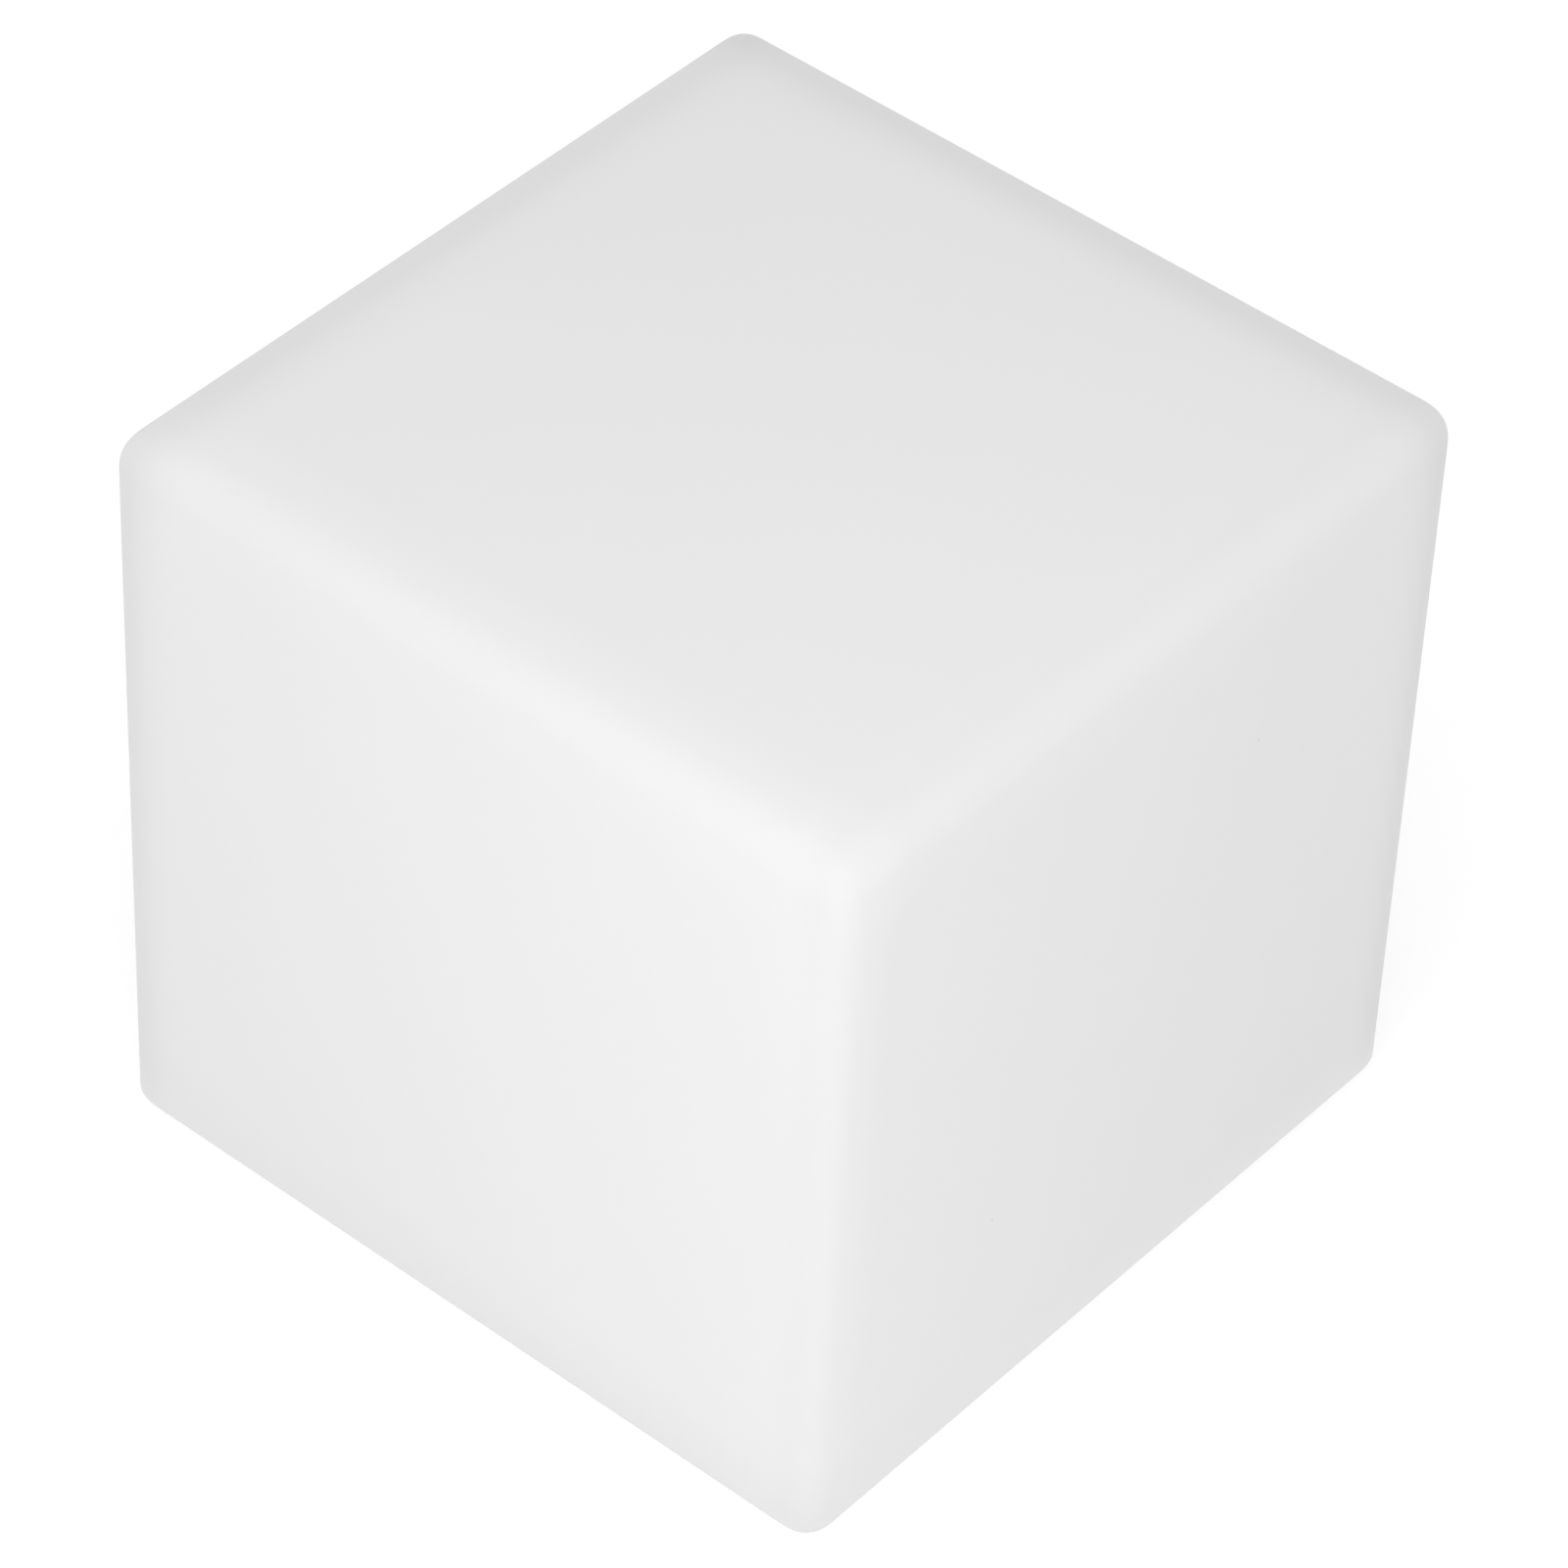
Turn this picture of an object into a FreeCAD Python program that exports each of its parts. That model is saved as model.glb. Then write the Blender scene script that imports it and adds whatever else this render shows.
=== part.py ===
import FreeCAD, Part
import math
import os
import re
import Sketcher
from FreeCAD import Vector, Placement, Rotation

# Free-standing rounded cube lantern: a one-piece hollow white body with a
# recessed underside, and a round light module that twists out of it.
# Frame: millimetres, +Z up, origin on the ground under the centre of the
# cube. -Y and +X are the two sides seen in the picture.

doc = FreeCAD.newDocument("cube_light")
sheet = doc.addObject("Spreadsheet::Sheet", "Params")

PARAMS = [
    # cube body
    ("cube_width", 200.0, "side of the cube, X and Y"),
    ("cube_top", 193.0, "height of the top face above the ground"),
    ("foot_stand", 1.0, "how far the foot pads hold the rim off the ground"),
    ("side_radius", 8.0, "upright edges"),
    ("top_radius", 9.0, "edges of the top face"),
    ("rim_radius", 3.0, "outer lower edge"),
    ("skin", 3.0, "wall of the moulded body"),
    ("recess_side", 172.0, "square recess under the body"),
    ("recess_round", 16.0, "corner radius of that recess"),
    ("deck_under", 12.0, "underside of the body's floor"),
    ("mouth_radius", 50.0, "round opening in the floor"),
    ("boss_radius", 4.5, "moulded bosses for the collar screws"),
    ("boss_rise", 6.0, "boss height above the floor"),
    ("pad_radius", 7.0, "foot pads"),
    ("pad_place", 88.8, "foot pad centres, X and Y"),
    ("pad_sink", 0.8, "how deep a pad sits in the rim"),
    # collar with the inner lugs
    ("collar_inner", 47.0, "bore of the collar barrel"),
    ("collar_outer", 49.6, "outside of the collar barrel"),
    ("collar_flange", 63.0, "outer radius of its flange"),
    ("collar_thick", 2.5, "flange thickness"),
    ("collar_upper", 23.0, "top of the barrel"),
    ("collar_pcd_radius", 58.0, "screw circle radius"),
    ("lug_lead", 12.0, "rise of the lugs in one full turn"),
    ("ridge_low", 14.0, "start of the collar's ridges"),
    ("ridge_tall", 1.8, "their height"),
    ("ridge_inner", 44.6, "their inner radius"),
    ("ridge_span", 80.0, "their arc, degrees"),
    ("lug_tall", 1.6, "height of the module's lugs"),
    ("lug_outer", 46.5, "their outer radius"),
    ("lug_start", 52.0, "where they start, degrees"),
    ("lug_span", 26.0, "their arc, degrees"),
    ("lug_gap", 0.3, "play between lug and ridge"),
    # light module
    ("base_low", 3.4, "lowest face of the light module"),
    ("base_plate", 2.5, "its plate thickness"),
    ("base_flange", 66.0, "outer radius of its flange"),
    ("flange_top", 8.0, "upper face of its flange"),
    ("barrel_outer", 44.2, "outside of its barrel"),
    ("barrel_inner", 42.2, "inside of its barrel"),
    ("barrel_top", 40.0, "rim that carries the dome"),
    ("ledge_inner", 36.0, "inner radius of that rim"),
    ("gasket_inner", 50.5, "face gasket, inner radius"),
    ("gasket_outer", 53.5, "face gasket, outer radius"),
    ("grip_half", 14.0, "half width of the grip bar between the finger pockets"),
    ("grip_radius", 38.0, "outer radius of the finger pockets"),
    ("grip_top", 14.0, "ceiling of the finger pockets"),
    ("grip_wall", 2.0, "their wall"),
    ("dome_radius", 42.6, "outer radius of the dome's sphere"),
    ("dome_skin", 2.0, "dome wall"),
    ("dome_apex", 64.0, "top of the dome"),
    ("dome_flange", 44.0, "outer radius of its flange"),
    ("dome_flange_thick", 2.5, "its flange"),
    ("dome_screw_radius", 39.3, "dome screw circle radius"),
    ("led_board_radius", 35.5, "round light board"),
    ("board_thick", 1.6, "both boards"),
    ("post_x", 19.3, "light board posts"),
    ("post_y", 23.0, "light board posts"),
    ("ctl_low", 12.5, "underside of the control board"),
    ("ctl_half_x", 11.0, "control board half width"),
    ("ctl_half_y", 34.0, "control board half length"),
    ("ctl_post_x", 8.5, "its posts"),
    ("ctl_post_y", 31.0, "its posts"),
    # battery
    ("cell_radius", 9.2, "rechargeable cell"),
    ("cell_length", 65.2, "rechargeable cell"),
    ("cell_mid", 26.2, "height of its axis"),
    # button
    ("button_y", 20.0, "place of the power button"),
    ("button_radius", 5.0, "its cap"),
    ("button_hole", 5.35, "hole in the base"),
    ("button_travel", 0.6, "its stroke"),
    # charging port
    ("port_y", -20.0, "place of the charging port"),
    ("port_long", 12.6, "oblong opening, long way"),
    ("port_short", 7.2, "oblong opening, short way"),
    ("flap_axis_y", -14.0, "fold line of the port cover"),
    ("flap_axis_z", 4.0, "fold line of the port cover"),
    ("flap_thick", 1.0, "port cover"),
    ("flap_half", 8.2, "port cover half width"),
    ("flap_far", -27.0, "free edge of the port cover"),
]
for row, (alias, value, note) in enumerate(PARAMS, 1):
    sheet.set("A%d" % row, alias)
    sheet.set("B%d" % row, repr(value))
    sheet.set("C%d" % row, note)
    sheet.setAlias("B%d" % row, alias)
doc.recompute()
NAMES = set(p[0] for p in PARAMS)


def ex(text):
    """An expression in aliases, with the sheet's name put before each."""
    return re.sub(r"[a-z][a-z_]*", lambda m: "Params." + m.group(0) if m.group(0) in NAMES else m.group(0), str(text))


def val(text):
    if not isinstance(text, str):
        return float(text)
    return float(sheet.evalExpression(ex(text)))


def bind(obj, prop, text):
    """Set a number, or bind an expression to the sheet."""
    if isinstance(text, str):
        obj.setExpression(prop, ex(text))
    else:
        obj.setExpression(prop, "%.9g" % text)


def place(obj, at, rot=None):
    obj.Placement = Placement(Vector(*[val(a) for a in at]), rot or Rotation())
    for axis, text in zip("xyz", at):
        if isinstance(text, str):
            bind(obj, "Placement.Base." + axis, text)
    return obj


def cyl(name, radius, tall, at=(0, 0, 0), rot=None, angle=None):
    obj = doc.addObject("Part::Cylinder", name)
    bind(obj, "Radius", radius)
    bind(obj, "Height", tall)
    if angle is not None:
        obj.Angle = angle
    return place(obj, at, rot)


def cone(name, r_low, r_high, tall, at=(0, 0, 0), rot=None):
    obj = doc.addObject("Part::Cone", name)
    bind(obj, "Radius1", r_low)
    bind(obj, "Radius2", r_high)
    bind(obj, "Height", tall)
    return place(obj, at, rot)


def box(name, length, width, tall, at=(0, 0, 0), rot=None):
    """A block whose low corner is at the given place."""
    obj = doc.addObject("Part::Box", name)
    bind(obj, "Length", length)
    bind(obj, "Width", width)
    bind(obj, "Height", tall)
    return place(obj, at, rot)


def cbox(name, length, width, tall, at, rot=None):
    """A block centred in X and Y, standing on the given height."""
    def s(a):
        return "(%s)" % a
    return box(name, length, width, tall,
               (s(at[0]) + " - " + s(length) + " / 2", s(at[1]) + " - " + s(width) + " / 2", at[2]), rot)


def sphere(name, radius, at):
    obj = doc.addObject("Part::Sphere", name)
    bind(obj, "Radius", radius)
    return place(obj, at)


def fuse(name, *items):
    obj = doc.addObject("Part::MultiFuse", name)
    obj.Shapes = list(items)
    return obj


def common(name, *items):
    obj = doc.addObject("Part::MultiCommon", name)
    obj.Shapes = list(items)
    return obj


def cut(name, base, *tools):
    obj = doc.addObject("Part::Cut", name)
    obj.Base = base
    obj.Tool = tools[0] if len(tools) == 1 else group(name + "_tools", *tools)
    return obj


def group(name, *items):
    obj = doc.addObject("Part::Compound", name)
    obj.Links = list(items)
    return obj


def copy(name, source, at=(0, 0, 0), rot=None):
    obj = doc.addObject("App::Link", name)
    obj.LinkedObject = source
    obj.LinkTransform = False
    return place(obj, at, rot)


def around(name, source, count, first=0.0):
    """Copies of an item turned about the Z axis."""
    items = []
    for k in range(count):
        obj = doc.addObject("App::Link", "%s_%d" % (name, k))
        obj.LinkedObject = source
        obj.LinkTransform = True
        obj.Placement = Placement(Vector(0, 0, 0), Rotation(Vector(0, 0, 1), first + 360.0 * k / count))
        items.append(obj)
    return items


def round_edges(name, base, rule):
    """Round the edges of an item: rule gives a radius, or None, for an edge."""
    doc.recompute()
    obj = doc.addObject("Part::Fillet", name)
    obj.Base = base
    chosen = []
    for i, e in enumerate(base.Shape.Edges, 1):
        r = rule(e)
        if r:
            chosen.append((i, r, r))
    obj.Edges = chosen
    return obj


def upright(e):
    v = e.Vertexes
    return len(v) == 2 and abs(v[0].X - v[1].X) < 1e-6 and abs(v[0].Y - v[1].Y) < 1e-6


def level(e, z):
    return all(abs(v.Z - z) < 1e-6 for v in e.Vertexes)


def plane(body, role):
    return [o for o in body.Origin.OriginFeatures if o.Role == role][0]


def profile(body, name, points, role="XZ_Plane", turn=None):
    """A closed outline whose corners are bound to the sheet."""
    sk = body.newObject("Sketcher::SketchObject", name)
    sk.AttachmentSupport = [(plane(body, role), "")]
    sk.MapMode = "FlatFace"
    if turn is not None:
        sk.AttachmentOffset = Placement(Vector(0, 0, 0), Rotation(Vector(0, 1, 0), turn))
    num = [(val(a), val(b)) for a, b in points]
    n = len(num)
    for i in range(n):
        a, b = num[i], num[(i + 1) % n]
        sk.addGeometry(Part.LineSegment(Vector(a[0], a[1], 0), Vector(b[0], b[1], 0)), False)
    for i in range(n):
        sk.addConstraint(Sketcher.Constraint("Coincident", i, 2, (i + 1) % n, 1))
    for i in range(n):
        for kind, v, text in (("DistanceX", num[i][0], points[i][0]), ("DistanceY", num[i][1], points[i][1])):
            if abs(v) < 1e-9:
                sk.addConstraint(Sketcher.Constraint("PointOnObject", i, 1, -2 if kind == "DistanceX" else -1))
            else:
                c = sk.addConstraint(Sketcher.Constraint(kind, -1, 1, i, 1, v))
                if isinstance(text, str):
                    sk.setExpression("Constraints[%d]" % c, ex(text))
    return sk


def turned(name, points):
    """A piece turned about the Z axis from an outline of (radius, height)."""
    body = doc.addObject("PartDesign::Body", name)
    sk = profile(body, name + "_outline", points)
    rev = body.newObject("PartDesign::Revolution", name + "_turn")
    rev.Profile = sk
    rev.ReferenceAxis = (sk, ["V_Axis"])
    rev.Angle = 360
    body.Tip = rev
    doc.recompute()
    return body


def oblong(name, long, short, tall, at, rot_z=0):
    """A block with round ends, its long side along X (or turned about Z)."""
    x, y, z = [val(a) for a in at]
    l, s = val(long), val(short)
    half = (l - s) / 2.0
    body = doc.addObject("PartDesign::Body", name)
    sk = body.newObject("Sketcher::SketchObject", name + "_outline")
    sk.AttachmentSupport = [(plane(body, "XY_Plane"), "")]
    sk.MapMode = "FlatFace"
    r = s / 2.0
    sk.addGeometry(Part.LineSegment(Vector(-half, r, 0), Vector(half, r, 0)), False)
    sk.addGeometry(Part.ArcOfCircle(Part.Circle(Vector(half, 0, 0), Vector(0, 0, 1), r), -math.pi / 2, math.pi / 2), False)
    sk.addGeometry(Part.LineSegment(Vector(half, -r, 0), Vector(-half, -r, 0)), False)
    sk.addGeometry(Part.ArcOfCircle(Part.Circle(Vector(-half, 0, 0), Vector(0, 0, 1), r), math.pi / 2, 3 * math.pi / 2), False)
    sk.addConstraint([
        Sketcher.Constraint("Tangent", 0, 2, 1, 2),
        Sketcher.Constraint("Tangent", 1, 1, 2, 1),
        Sketcher.Constraint("Tangent", 2, 2, 3, 2),
        Sketcher.Constraint("Tangent", 3, 1, 0, 1),
        Sketcher.Constraint("Horizontal", 0),
        Sketcher.Constraint("PointOnObject", 1, 3, -1),
        Sketcher.Constraint("Symmetric", 1, 3, 3, 3, -1, 1),
    ])
    c = sk.addConstraint(Sketcher.Constraint("Radius", 1, r))
    bind(sk, "Constraints[%d]" % c, "(%s) / 2" % short)
    c = sk.addConstraint(Sketcher.Constraint("Distance", 0, l - s))
    bind(sk, "Constraints[%d]" % c, "(%s) - (%s)" % (long, short))
    pad = body.newObject("PartDesign::Pad", name + "_pad")
    pad.Profile = sk
    bind(pad, "Length", tall)
    body.Tip = pad
    place(body, at, Rotation(Vector(0, 0, 1), rot_z))
    doc.recompute()
    return body


def screw(name, head_radius, head_tall, shank_radius, shank_long, recess=True):
    """A pan-head screw standing head down at the origin: head below z=0, tip up."""
    head = cyl(name + "_head", head_radius, head_tall, (0, 0, "-(%s)" % head_tall))
    shank = cyl(name + "_shank", shank_radius, shank_long, (0, 0, -0.2))
    tip = cone(name + "_tip", shank_radius, 0.35, 1.2, (0, 0, "(%s) - 0.2" % shank_long))
    solid = fuse(name + "_blank", head, shank, tip)
    doc.recompute()
    solid = round_edges(name + "_soft", solid, lambda e: 0.35 if e.Closed and level(e, -val(head_tall)) and abs(e.BoundBox.XLength / 2 - val(head_radius)) < 1e-3 else None)
    if recess:
        w = val(head_radius) * 1.1
        deep = 0.65 * val(head_tall)
        a = box(name + "_slot_a", w, 0.55, deep, (-w / 2, -0.275, -val(head_tall)))
        b = box(name + "_slot_b", 0.55, w, deep, (-0.275, -w / 2, -val(head_tall)))
        solid = cut(name, solid, a, b)
    return solid


def tube(points, radius):
    """A round lead along straight runs joined by tangent arcs."""
    pts = [Vector(*p) for p in points]
    edges = []
    start = pts[0]
    length = 0.0
    radii = []
    for i in range(1, len(pts) - 1):
        a, b, c = pts[i - 1], pts[i], pts[i + 1]
        u = (a - b).normalize()
        v = (c - b).normalize()
        turn = math.pi - math.acos(max(-1.0, min(1.0, u.dot(v))))
        short = min((a - b).Length, (c - b).Length)
        r = 0.45 * short / math.tan(turn / 2)
        radii.append(round(r, 1))
        back = 0.45 * short
        p1 = b + u * back
        p3 = b + v * back
        mid_dir = (u + v).normalize()
        centre = b + mid_dir * (r / math.cos(turn / 2))
        p2 = centre - mid_dir * r
        edges.append(Part.LineSegment(start, p1).toShape())
        length += (p1 - start).Length
        edges.append(Part.Arc(p1, p2, p3).toShape())
        length += r * turn
        start = p3
    edges.append(Part.LineSegment(start, pts[-1]).toShape())
    length += (pts[-1] - start).Length
    wire = Part.Wire(edges)
    first = (edges[0].Vertexes[1].Point - edges[0].Vertexes[0].Point).normalize()
    ring = Part.Wire([Part.Circle(pts[0], first, radius).toShape()])
    solid = wire.makePipeShell([ring], True, False)
    want = math.pi * radius * radius * length
    print("lead: length %.1f, radii %s, volume %.1f of %.1f" % (length, radii, solid.Volume, want))
    if abs(solid.Volume - want) > 0.02 * want:
        raise RuntimeError("a lead has the wrong volume")
    return solid


def feature(name, shape):
    obj = doc.addObject("Part::Feature", name)
    obj.Shape = shape
    obj.Placement = Placement(Vector(0, 0, 0), Rotation())
    return obj


NODES = []


def node(obj, label):
    obj.Label = label
    NODES.append((obj, label))
    return obj


FLIP = Rotation(Vector(1, 0, 0), 180)

# ------------------------------------------------------------------ cube body
shell_low = "foot_stand"
outer_box = cbox("shell_outer_box", "cube_width", "cube_width", "cube_top - foot_stand", (0, 0, shell_low))


def outer_rule(e):
    if upright(e):
        return val("side_radius")
    return val("top_radius") if level(e, val("cube_top")) else val("rim_radius")


outer = round_edges("shell_outer", outer_box, outer_rule)
# the hollow follows the outside at the wall's thickness, and steps over the recess
hollow_box = cbox("shell_hollow_box", "cube_width - 2 * skin", "cube_width - 2 * skin", "cube_top - foot_stand - 2 * skin", (0, 0, "foot_stand + skin"))


def hollow_rule(e):
    if upright(e):
        return val("side_radius - skin")
    return val("top_radius - skin") if level(e, val("cube_top - skin")) else 1.5


hollow = round_edges("shell_hollow_round", hollow_box, hollow_rule)
plinth_box = cbox("shell_plinth_box", "recess_side + 2 * skin", "recess_side + 2 * skin", "deck_under + skin", (0, 0, 0))
plinth = round_edges("shell_plinth", plinth_box, lambda e: val("recess_round + skin") if upright(e) else (3.5 if level(e, val("deck_under + skin")) else None))
cavity = cut("shell_cavity", hollow, plinth)
recess_box = cbox("shell_recess_box", "recess_side", "recess_side", "deck_under + 5", (0, 0, -5))
recess = round_edges("shell_recess", recess_box, lambda e: val("recess_round") if upright(e) else (2.0 if level(e, val("deck_under")) else None))
pad_sinks = [cyl("shell_pad_sink_%d" % i, "pad_radius + 0.15", "pad_sink + 2", ("%d * pad_place" % sx, "%d * pad_place" % sy, "foot_stand - 2"))
             for i, (sx, sy) in enumerate(((1, 1), (-1, 1), (-1, -1), (1, -1)))]
mouth = cyl("shell_mouth", "mouth_radius", "20", (0, 0, "deck_under - 5"))
blank = cut("shell_blank", outer, cavity, recess, mouth, *pad_sinks)
boss = cyl("shell_boss", "boss_radius", "boss_rise + 0.5", ("collar_pcd_radius", 0, "deck_under + skin - 0.5"))
boss_hole = cyl("shell_boss_hole", 1.55, "skin + boss_rise - 1.2", ("collar_pcd_radius", 0, "deck_under"))
with_bosses = fuse("shell_with_bosses", blank, *around("shell_bosses", boss, 6, 30.0))
cube_shell = node(cut("cube_shell", with_bosses, group("shell_boss_holes", *around("shell_boss_hole_at", boss_hole, 6, 30.0))), "cube_shell")

# four soft pads sunk into the rim at the corners
pad_disc = cyl("foot_pad_disc", "pad_radius", "foot_stand + pad_sink", ("pad_place", "pad_place", 0))
pad = round_edges("foot_pad", pad_disc, lambda e: 0.5 if e.Closed and level(e, 0) and e.BoundBox.XLength > 1 else None)
node(group("foot_pads", *around("foot_pads_at", pad, 4)), "foot_pads")

# ------------------------------------------------------------- mounting collar
flange_low = "deck_under - collar_thick"
collar_ring = turned("collar_ring", [
    ("collar_inner", flange_low), ("collar_flange - 0.6", flange_low), ("collar_flange", flange_low + " + 0.6"),
    ("collar_flange", "deck_under"), ("collar_outer", "deck_under"), ("collar_outer", "collar_upper - 0.8"),
    ("collar_outer - 0.8", "collar_upper"), ("collar_inner", "collar_upper")])


def helix_lug(name, inner, outer_r, low, tall, start, span):
    """A ridge of square section that climbs with the lead."""
    body = doc.addObject("PartDesign::Body", name)
    sk = profile(body, name + "_outline", [(inner, low), (outer_r, low), (outer_r, "%s + %s" % (low, tall)), (inner, "%s + %s" % (low, tall))], turn=val(start))
    hx = body.newObject("PartDesign::AdditiveHelix", name + "_helix")
    hx.Profile = sk
    hx.ReferenceAxis = (sk, ["V_Axis"])
    hx.Mode = "pitch-height-angle"
    bind(hx, "Pitch", "lug_lead")
    bind(hx, "Height", "lug_lead * %s / 360" % span)
    hx.Angle = 0
    body.Tip = hx
    doc.recompute()
    return body


ridge = helix_lug("collar_ridge", "ridge_inner", "collar_inner + 0.3", "ridge_low", "ridge_tall", "0", "ridge_span")
collar_fused = fuse("collar_fused", collar_ring, *around("collar_ridges", ridge, 3))
collar_hole = cyl("collar_hole", 1.75, 12, ("collar_pcd_radius", 0, flange_low + " - 2"))
collar_sink = cyl("collar_sink", 3.2, 3.2, ("collar_pcd_radius", 0, flange_low + " - 2"))
collar_drill = fuse("collar_drill", collar_hole, collar_sink)
node(cut("mounting_collar", collar_fused, group("collar_drills", *around("collar_drill_at", collar_drill, 6, 30.0))), "mounting_collar")

collar_screw = screw("collar_screw", 2.8, 1.1, 1.45, 7.5)
collar_screw_at = copy("collar_screw_at", collar_screw, ("collar_pcd_radius", 0, flange_low + " + 1.2"))
node(group("collar_screws", *around("collar_screws_at", collar_screw_at, 6, 30.0)), "collar_screws")

# ----------------------------------------------------------------- face gasket
node(turned("face_gasket", [
    ("gasket_inner", "flange_top - 1"), ("gasket_outer", "flange_top - 1"), ("gasket_outer", flange_low + " - 0.45"),
    ("gasket_outer - 0.5", flange_low + " - 0.05"), ("gasket_inner + 0.5", flange_low + " - 0.05"), ("gasket_inner", flange_low + " - 0.45")]), "face_gasket")

# ---------------------------------------------------------------- module base
cup = turned("base_cup", [
    (0, "base_low"), ("46.0", "base_low"), ("46.5", "base_low + 0.5"), ("46.5", "base_low + 2.2"),
    ("62.6", "base_low + 2.2"), ("62.6", "base_low + 0.5"), ("63.1", "base_low"), ("base_flange - 0.8", "base_low"),
    ("base_flange", "base_low + 0.8"), ("base_flange", "flange_top - 0.6"), ("base_flange - 0.6", "flange_top"),
    ("gasket_outer + 0.3", "flange_top"), ("gasket_outer + 0.3", "flange_top - 1"), ("gasket_inner - 0.3", "flange_top - 1"),
    ("gasket_inner - 0.3", "flange_top"), ("barrel_outer", "flange_top"), ("barrel_outer", "barrel_top"),
    ("43.4", "barrel_top"), ("43.4", "barrel_top - 1.3"), ("41.6", "barrel_top - 1.3"), ("41.6", "barrel_top"),
    ("ledge_inner", "barrel_top"), ("ledge_inner", "barrel_top - 2.5"), ("barrel_inner", "barrel_top - 2.5"),
    ("barrel_inner", "base_low + base_plate"), (0, "base_low + base_plate")])
# finger pockets either side of the grip bar
house = []
hollow_tool = []
for side in (1, -1):
    tag = "east" if side > 0 else "west"
    drum = cyl("pocket_drum_" + tag, "grip_radius + grip_wall", "grip_top + grip_wall - base_low - 1", (0, 0, "base_low + 1"))
    slab = box("pocket_slab_" + tag, 60, 100, 40, ("grip_half - grip_wall" if side > 0 else "-(grip_half - grip_wall) - 60", -50, 0))
    house.append(common("pocket_house_" + tag, drum, slab))
    inner_drum = cyl("pocket_inner_drum_" + tag, "grip_radius", "grip_top + 2", (0, 0, -2))
    inner_slab = box("pocket_inner_slab_" + tag, 60, 100, 40, ("grip_half" if side > 0 else "-grip_half - 60", -50, -4))
    raw = common("pocket_raw_" + tag, inner_drum, inner_slab)
    hollow_tool.append(round_edges("pocket_tool_" + tag, raw, lambda e: 4.0 if upright(e) else None))
ledge_boss = cyl("base_ledge_boss", 2.7, 7.6, ("dome_screw_radius", 0, "barrel_top - 10"))
lug = helix_lug("base_lug", "barrel_outer - 0.3", "lug_outer",
                "(ridge_low + lug_lead * lug_start / 360 + ridge_tall + lug_gap)", "lug_tall", "lug_start", "lug_span")
posts = []
for i, (sx, sy) in enumerate(((1, 1), (-1, 1), (-1, -1), (1, -1))):
    posts.append(cyl("base_post_%d" % i, 3.0, "barrel_top - board_thick - grip_top - 1", ("%d * post_x" % sx, "%d * post_y" % sy, "grip_top + 1")))
    posts.append(cyl("base_ctl_post_%d" % i, 2.4, "ctl_low - base_low - 1", ("%d * ctl_post_x" % sx, "%d * ctl_post_y" % sy, "base_low + 1")))
base_solid = fuse("base_solid", cup, *(house + around("base_ledge_bosses", ledge_boss, 6) + around("base_lugs", lug, 3) + posts))
tools = list(hollow_tool)
for i, (sx, sy) in enumerate(((1, 1), (-1, 1), (-1, -1), (1, -1))):
    tools.append(cyl("base_post_hole_%d" % i, 1.05, 8, ("%d * post_x" % sx, "%d * post_y" % sy, "barrel_top - board_thick - 8")))
    tools.append(cyl("base_ctl_hole_%d" % i, 0.85, 4.5, ("%d * ctl_post_x" % sx, "%d * ctl_post_y" % sy, "ctl_low - 4.5")))
dome_hole = cyl("base_dome_hole", 1.05, 8.5, ("dome_screw_radius", 0, "barrel_top - 8.5"))
tools += around("base_dome_holes", dome_hole, 6)
# scalloped rim for the fingertips
scallop = cyl("base_scallop", 7.0, 20, ("base_flange + 5.2", 0, 0))
tools += around("base_scallops", scallop, 24, 7.5)
# power button hole and a shallow dish around it
tools.append(cyl("base_button_hole", "button_hole", 10, (0, "button_y", 0)))
dish = doc.addObject("Part::Torus", "base_button_dish")
dish.Radius1, dish.Radius2 = 7.6, 0.55
place(dish, (0, "button_y", "base_low"))
tools.append(dish)
# charge indicator hole
tools.append(cyl("base_light_hole", 1.35, 10, (0, 6, 0)))
# port: oblong opening, shallow seat of the cover, finger notch at its free edge
tools.append(oblong("base_port", "port_long", "port_short", 8, (0, "port_y", 0)))
seat = cbox("base_flap_seat_box", "2 * flap_half + 0.8", "flap_axis_y - flap_far + 5.4", 5, (0, "(flap_axis_y + flap_far + 4.6) / 2", "base_low + 1.4 - 5"))
tools.append(round_edges("base_flap_seat", seat, lambda e: 1.6 if upright(e) else None))
notch = oblong("base_flap_notch", 9.0, 5.0, 5, (0, "flap_far - 0.6", "base_low + 1.1 - 5"))
tools.append(notch)
tools.append(cyl("base_anchor_hole", 1.55, 8, (0, "flap_axis_y + 2.6", 2)))
# four shallow radial marks around the ring channel stiffen the flange
rib = cbox("base_rib_one", 16.4, 1.4, 1.9, (54.6, 0, "base_low + 0.4"))
base_cut = cut("base_cut", base_solid, *tools)
node(fuse("module_base", base_cut, *around("base_ribs", rib, 24)), "module_base")

# ----------------------------------------------------------------- dome + seal
ball_z = "dome_apex - dome_radius"
ball = sphere("dome_ball", "dome_radius", (0, 0, ball_z))
ball_keep = cyl("dome_keep", 60, 60, (0, 0, "barrel_top"))
dome_cap = common("dome_cap", ball, ball_keep)
dome_ring = cyl("dome_ring_blank", "dome_flange", "dome_flange_thick", (0, 0, "barrel_top"))
dome_ring_soft = round_edges("dome_ring", dome_ring, lambda e: 0.5 if e.Closed and level(e, val("barrel_top + dome_flange_thick")) else None)
dome_core = sphere("dome_core", "dome_radius - dome_skin", (0, 0, ball_z))
dome_drill = cyl("dome_drill", 1.35, 6, ("dome_screw_radius", 0, "barrel_top - 1"))
dome_blank = fuse("dome_blank", dome_cap, dome_ring_soft)
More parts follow.
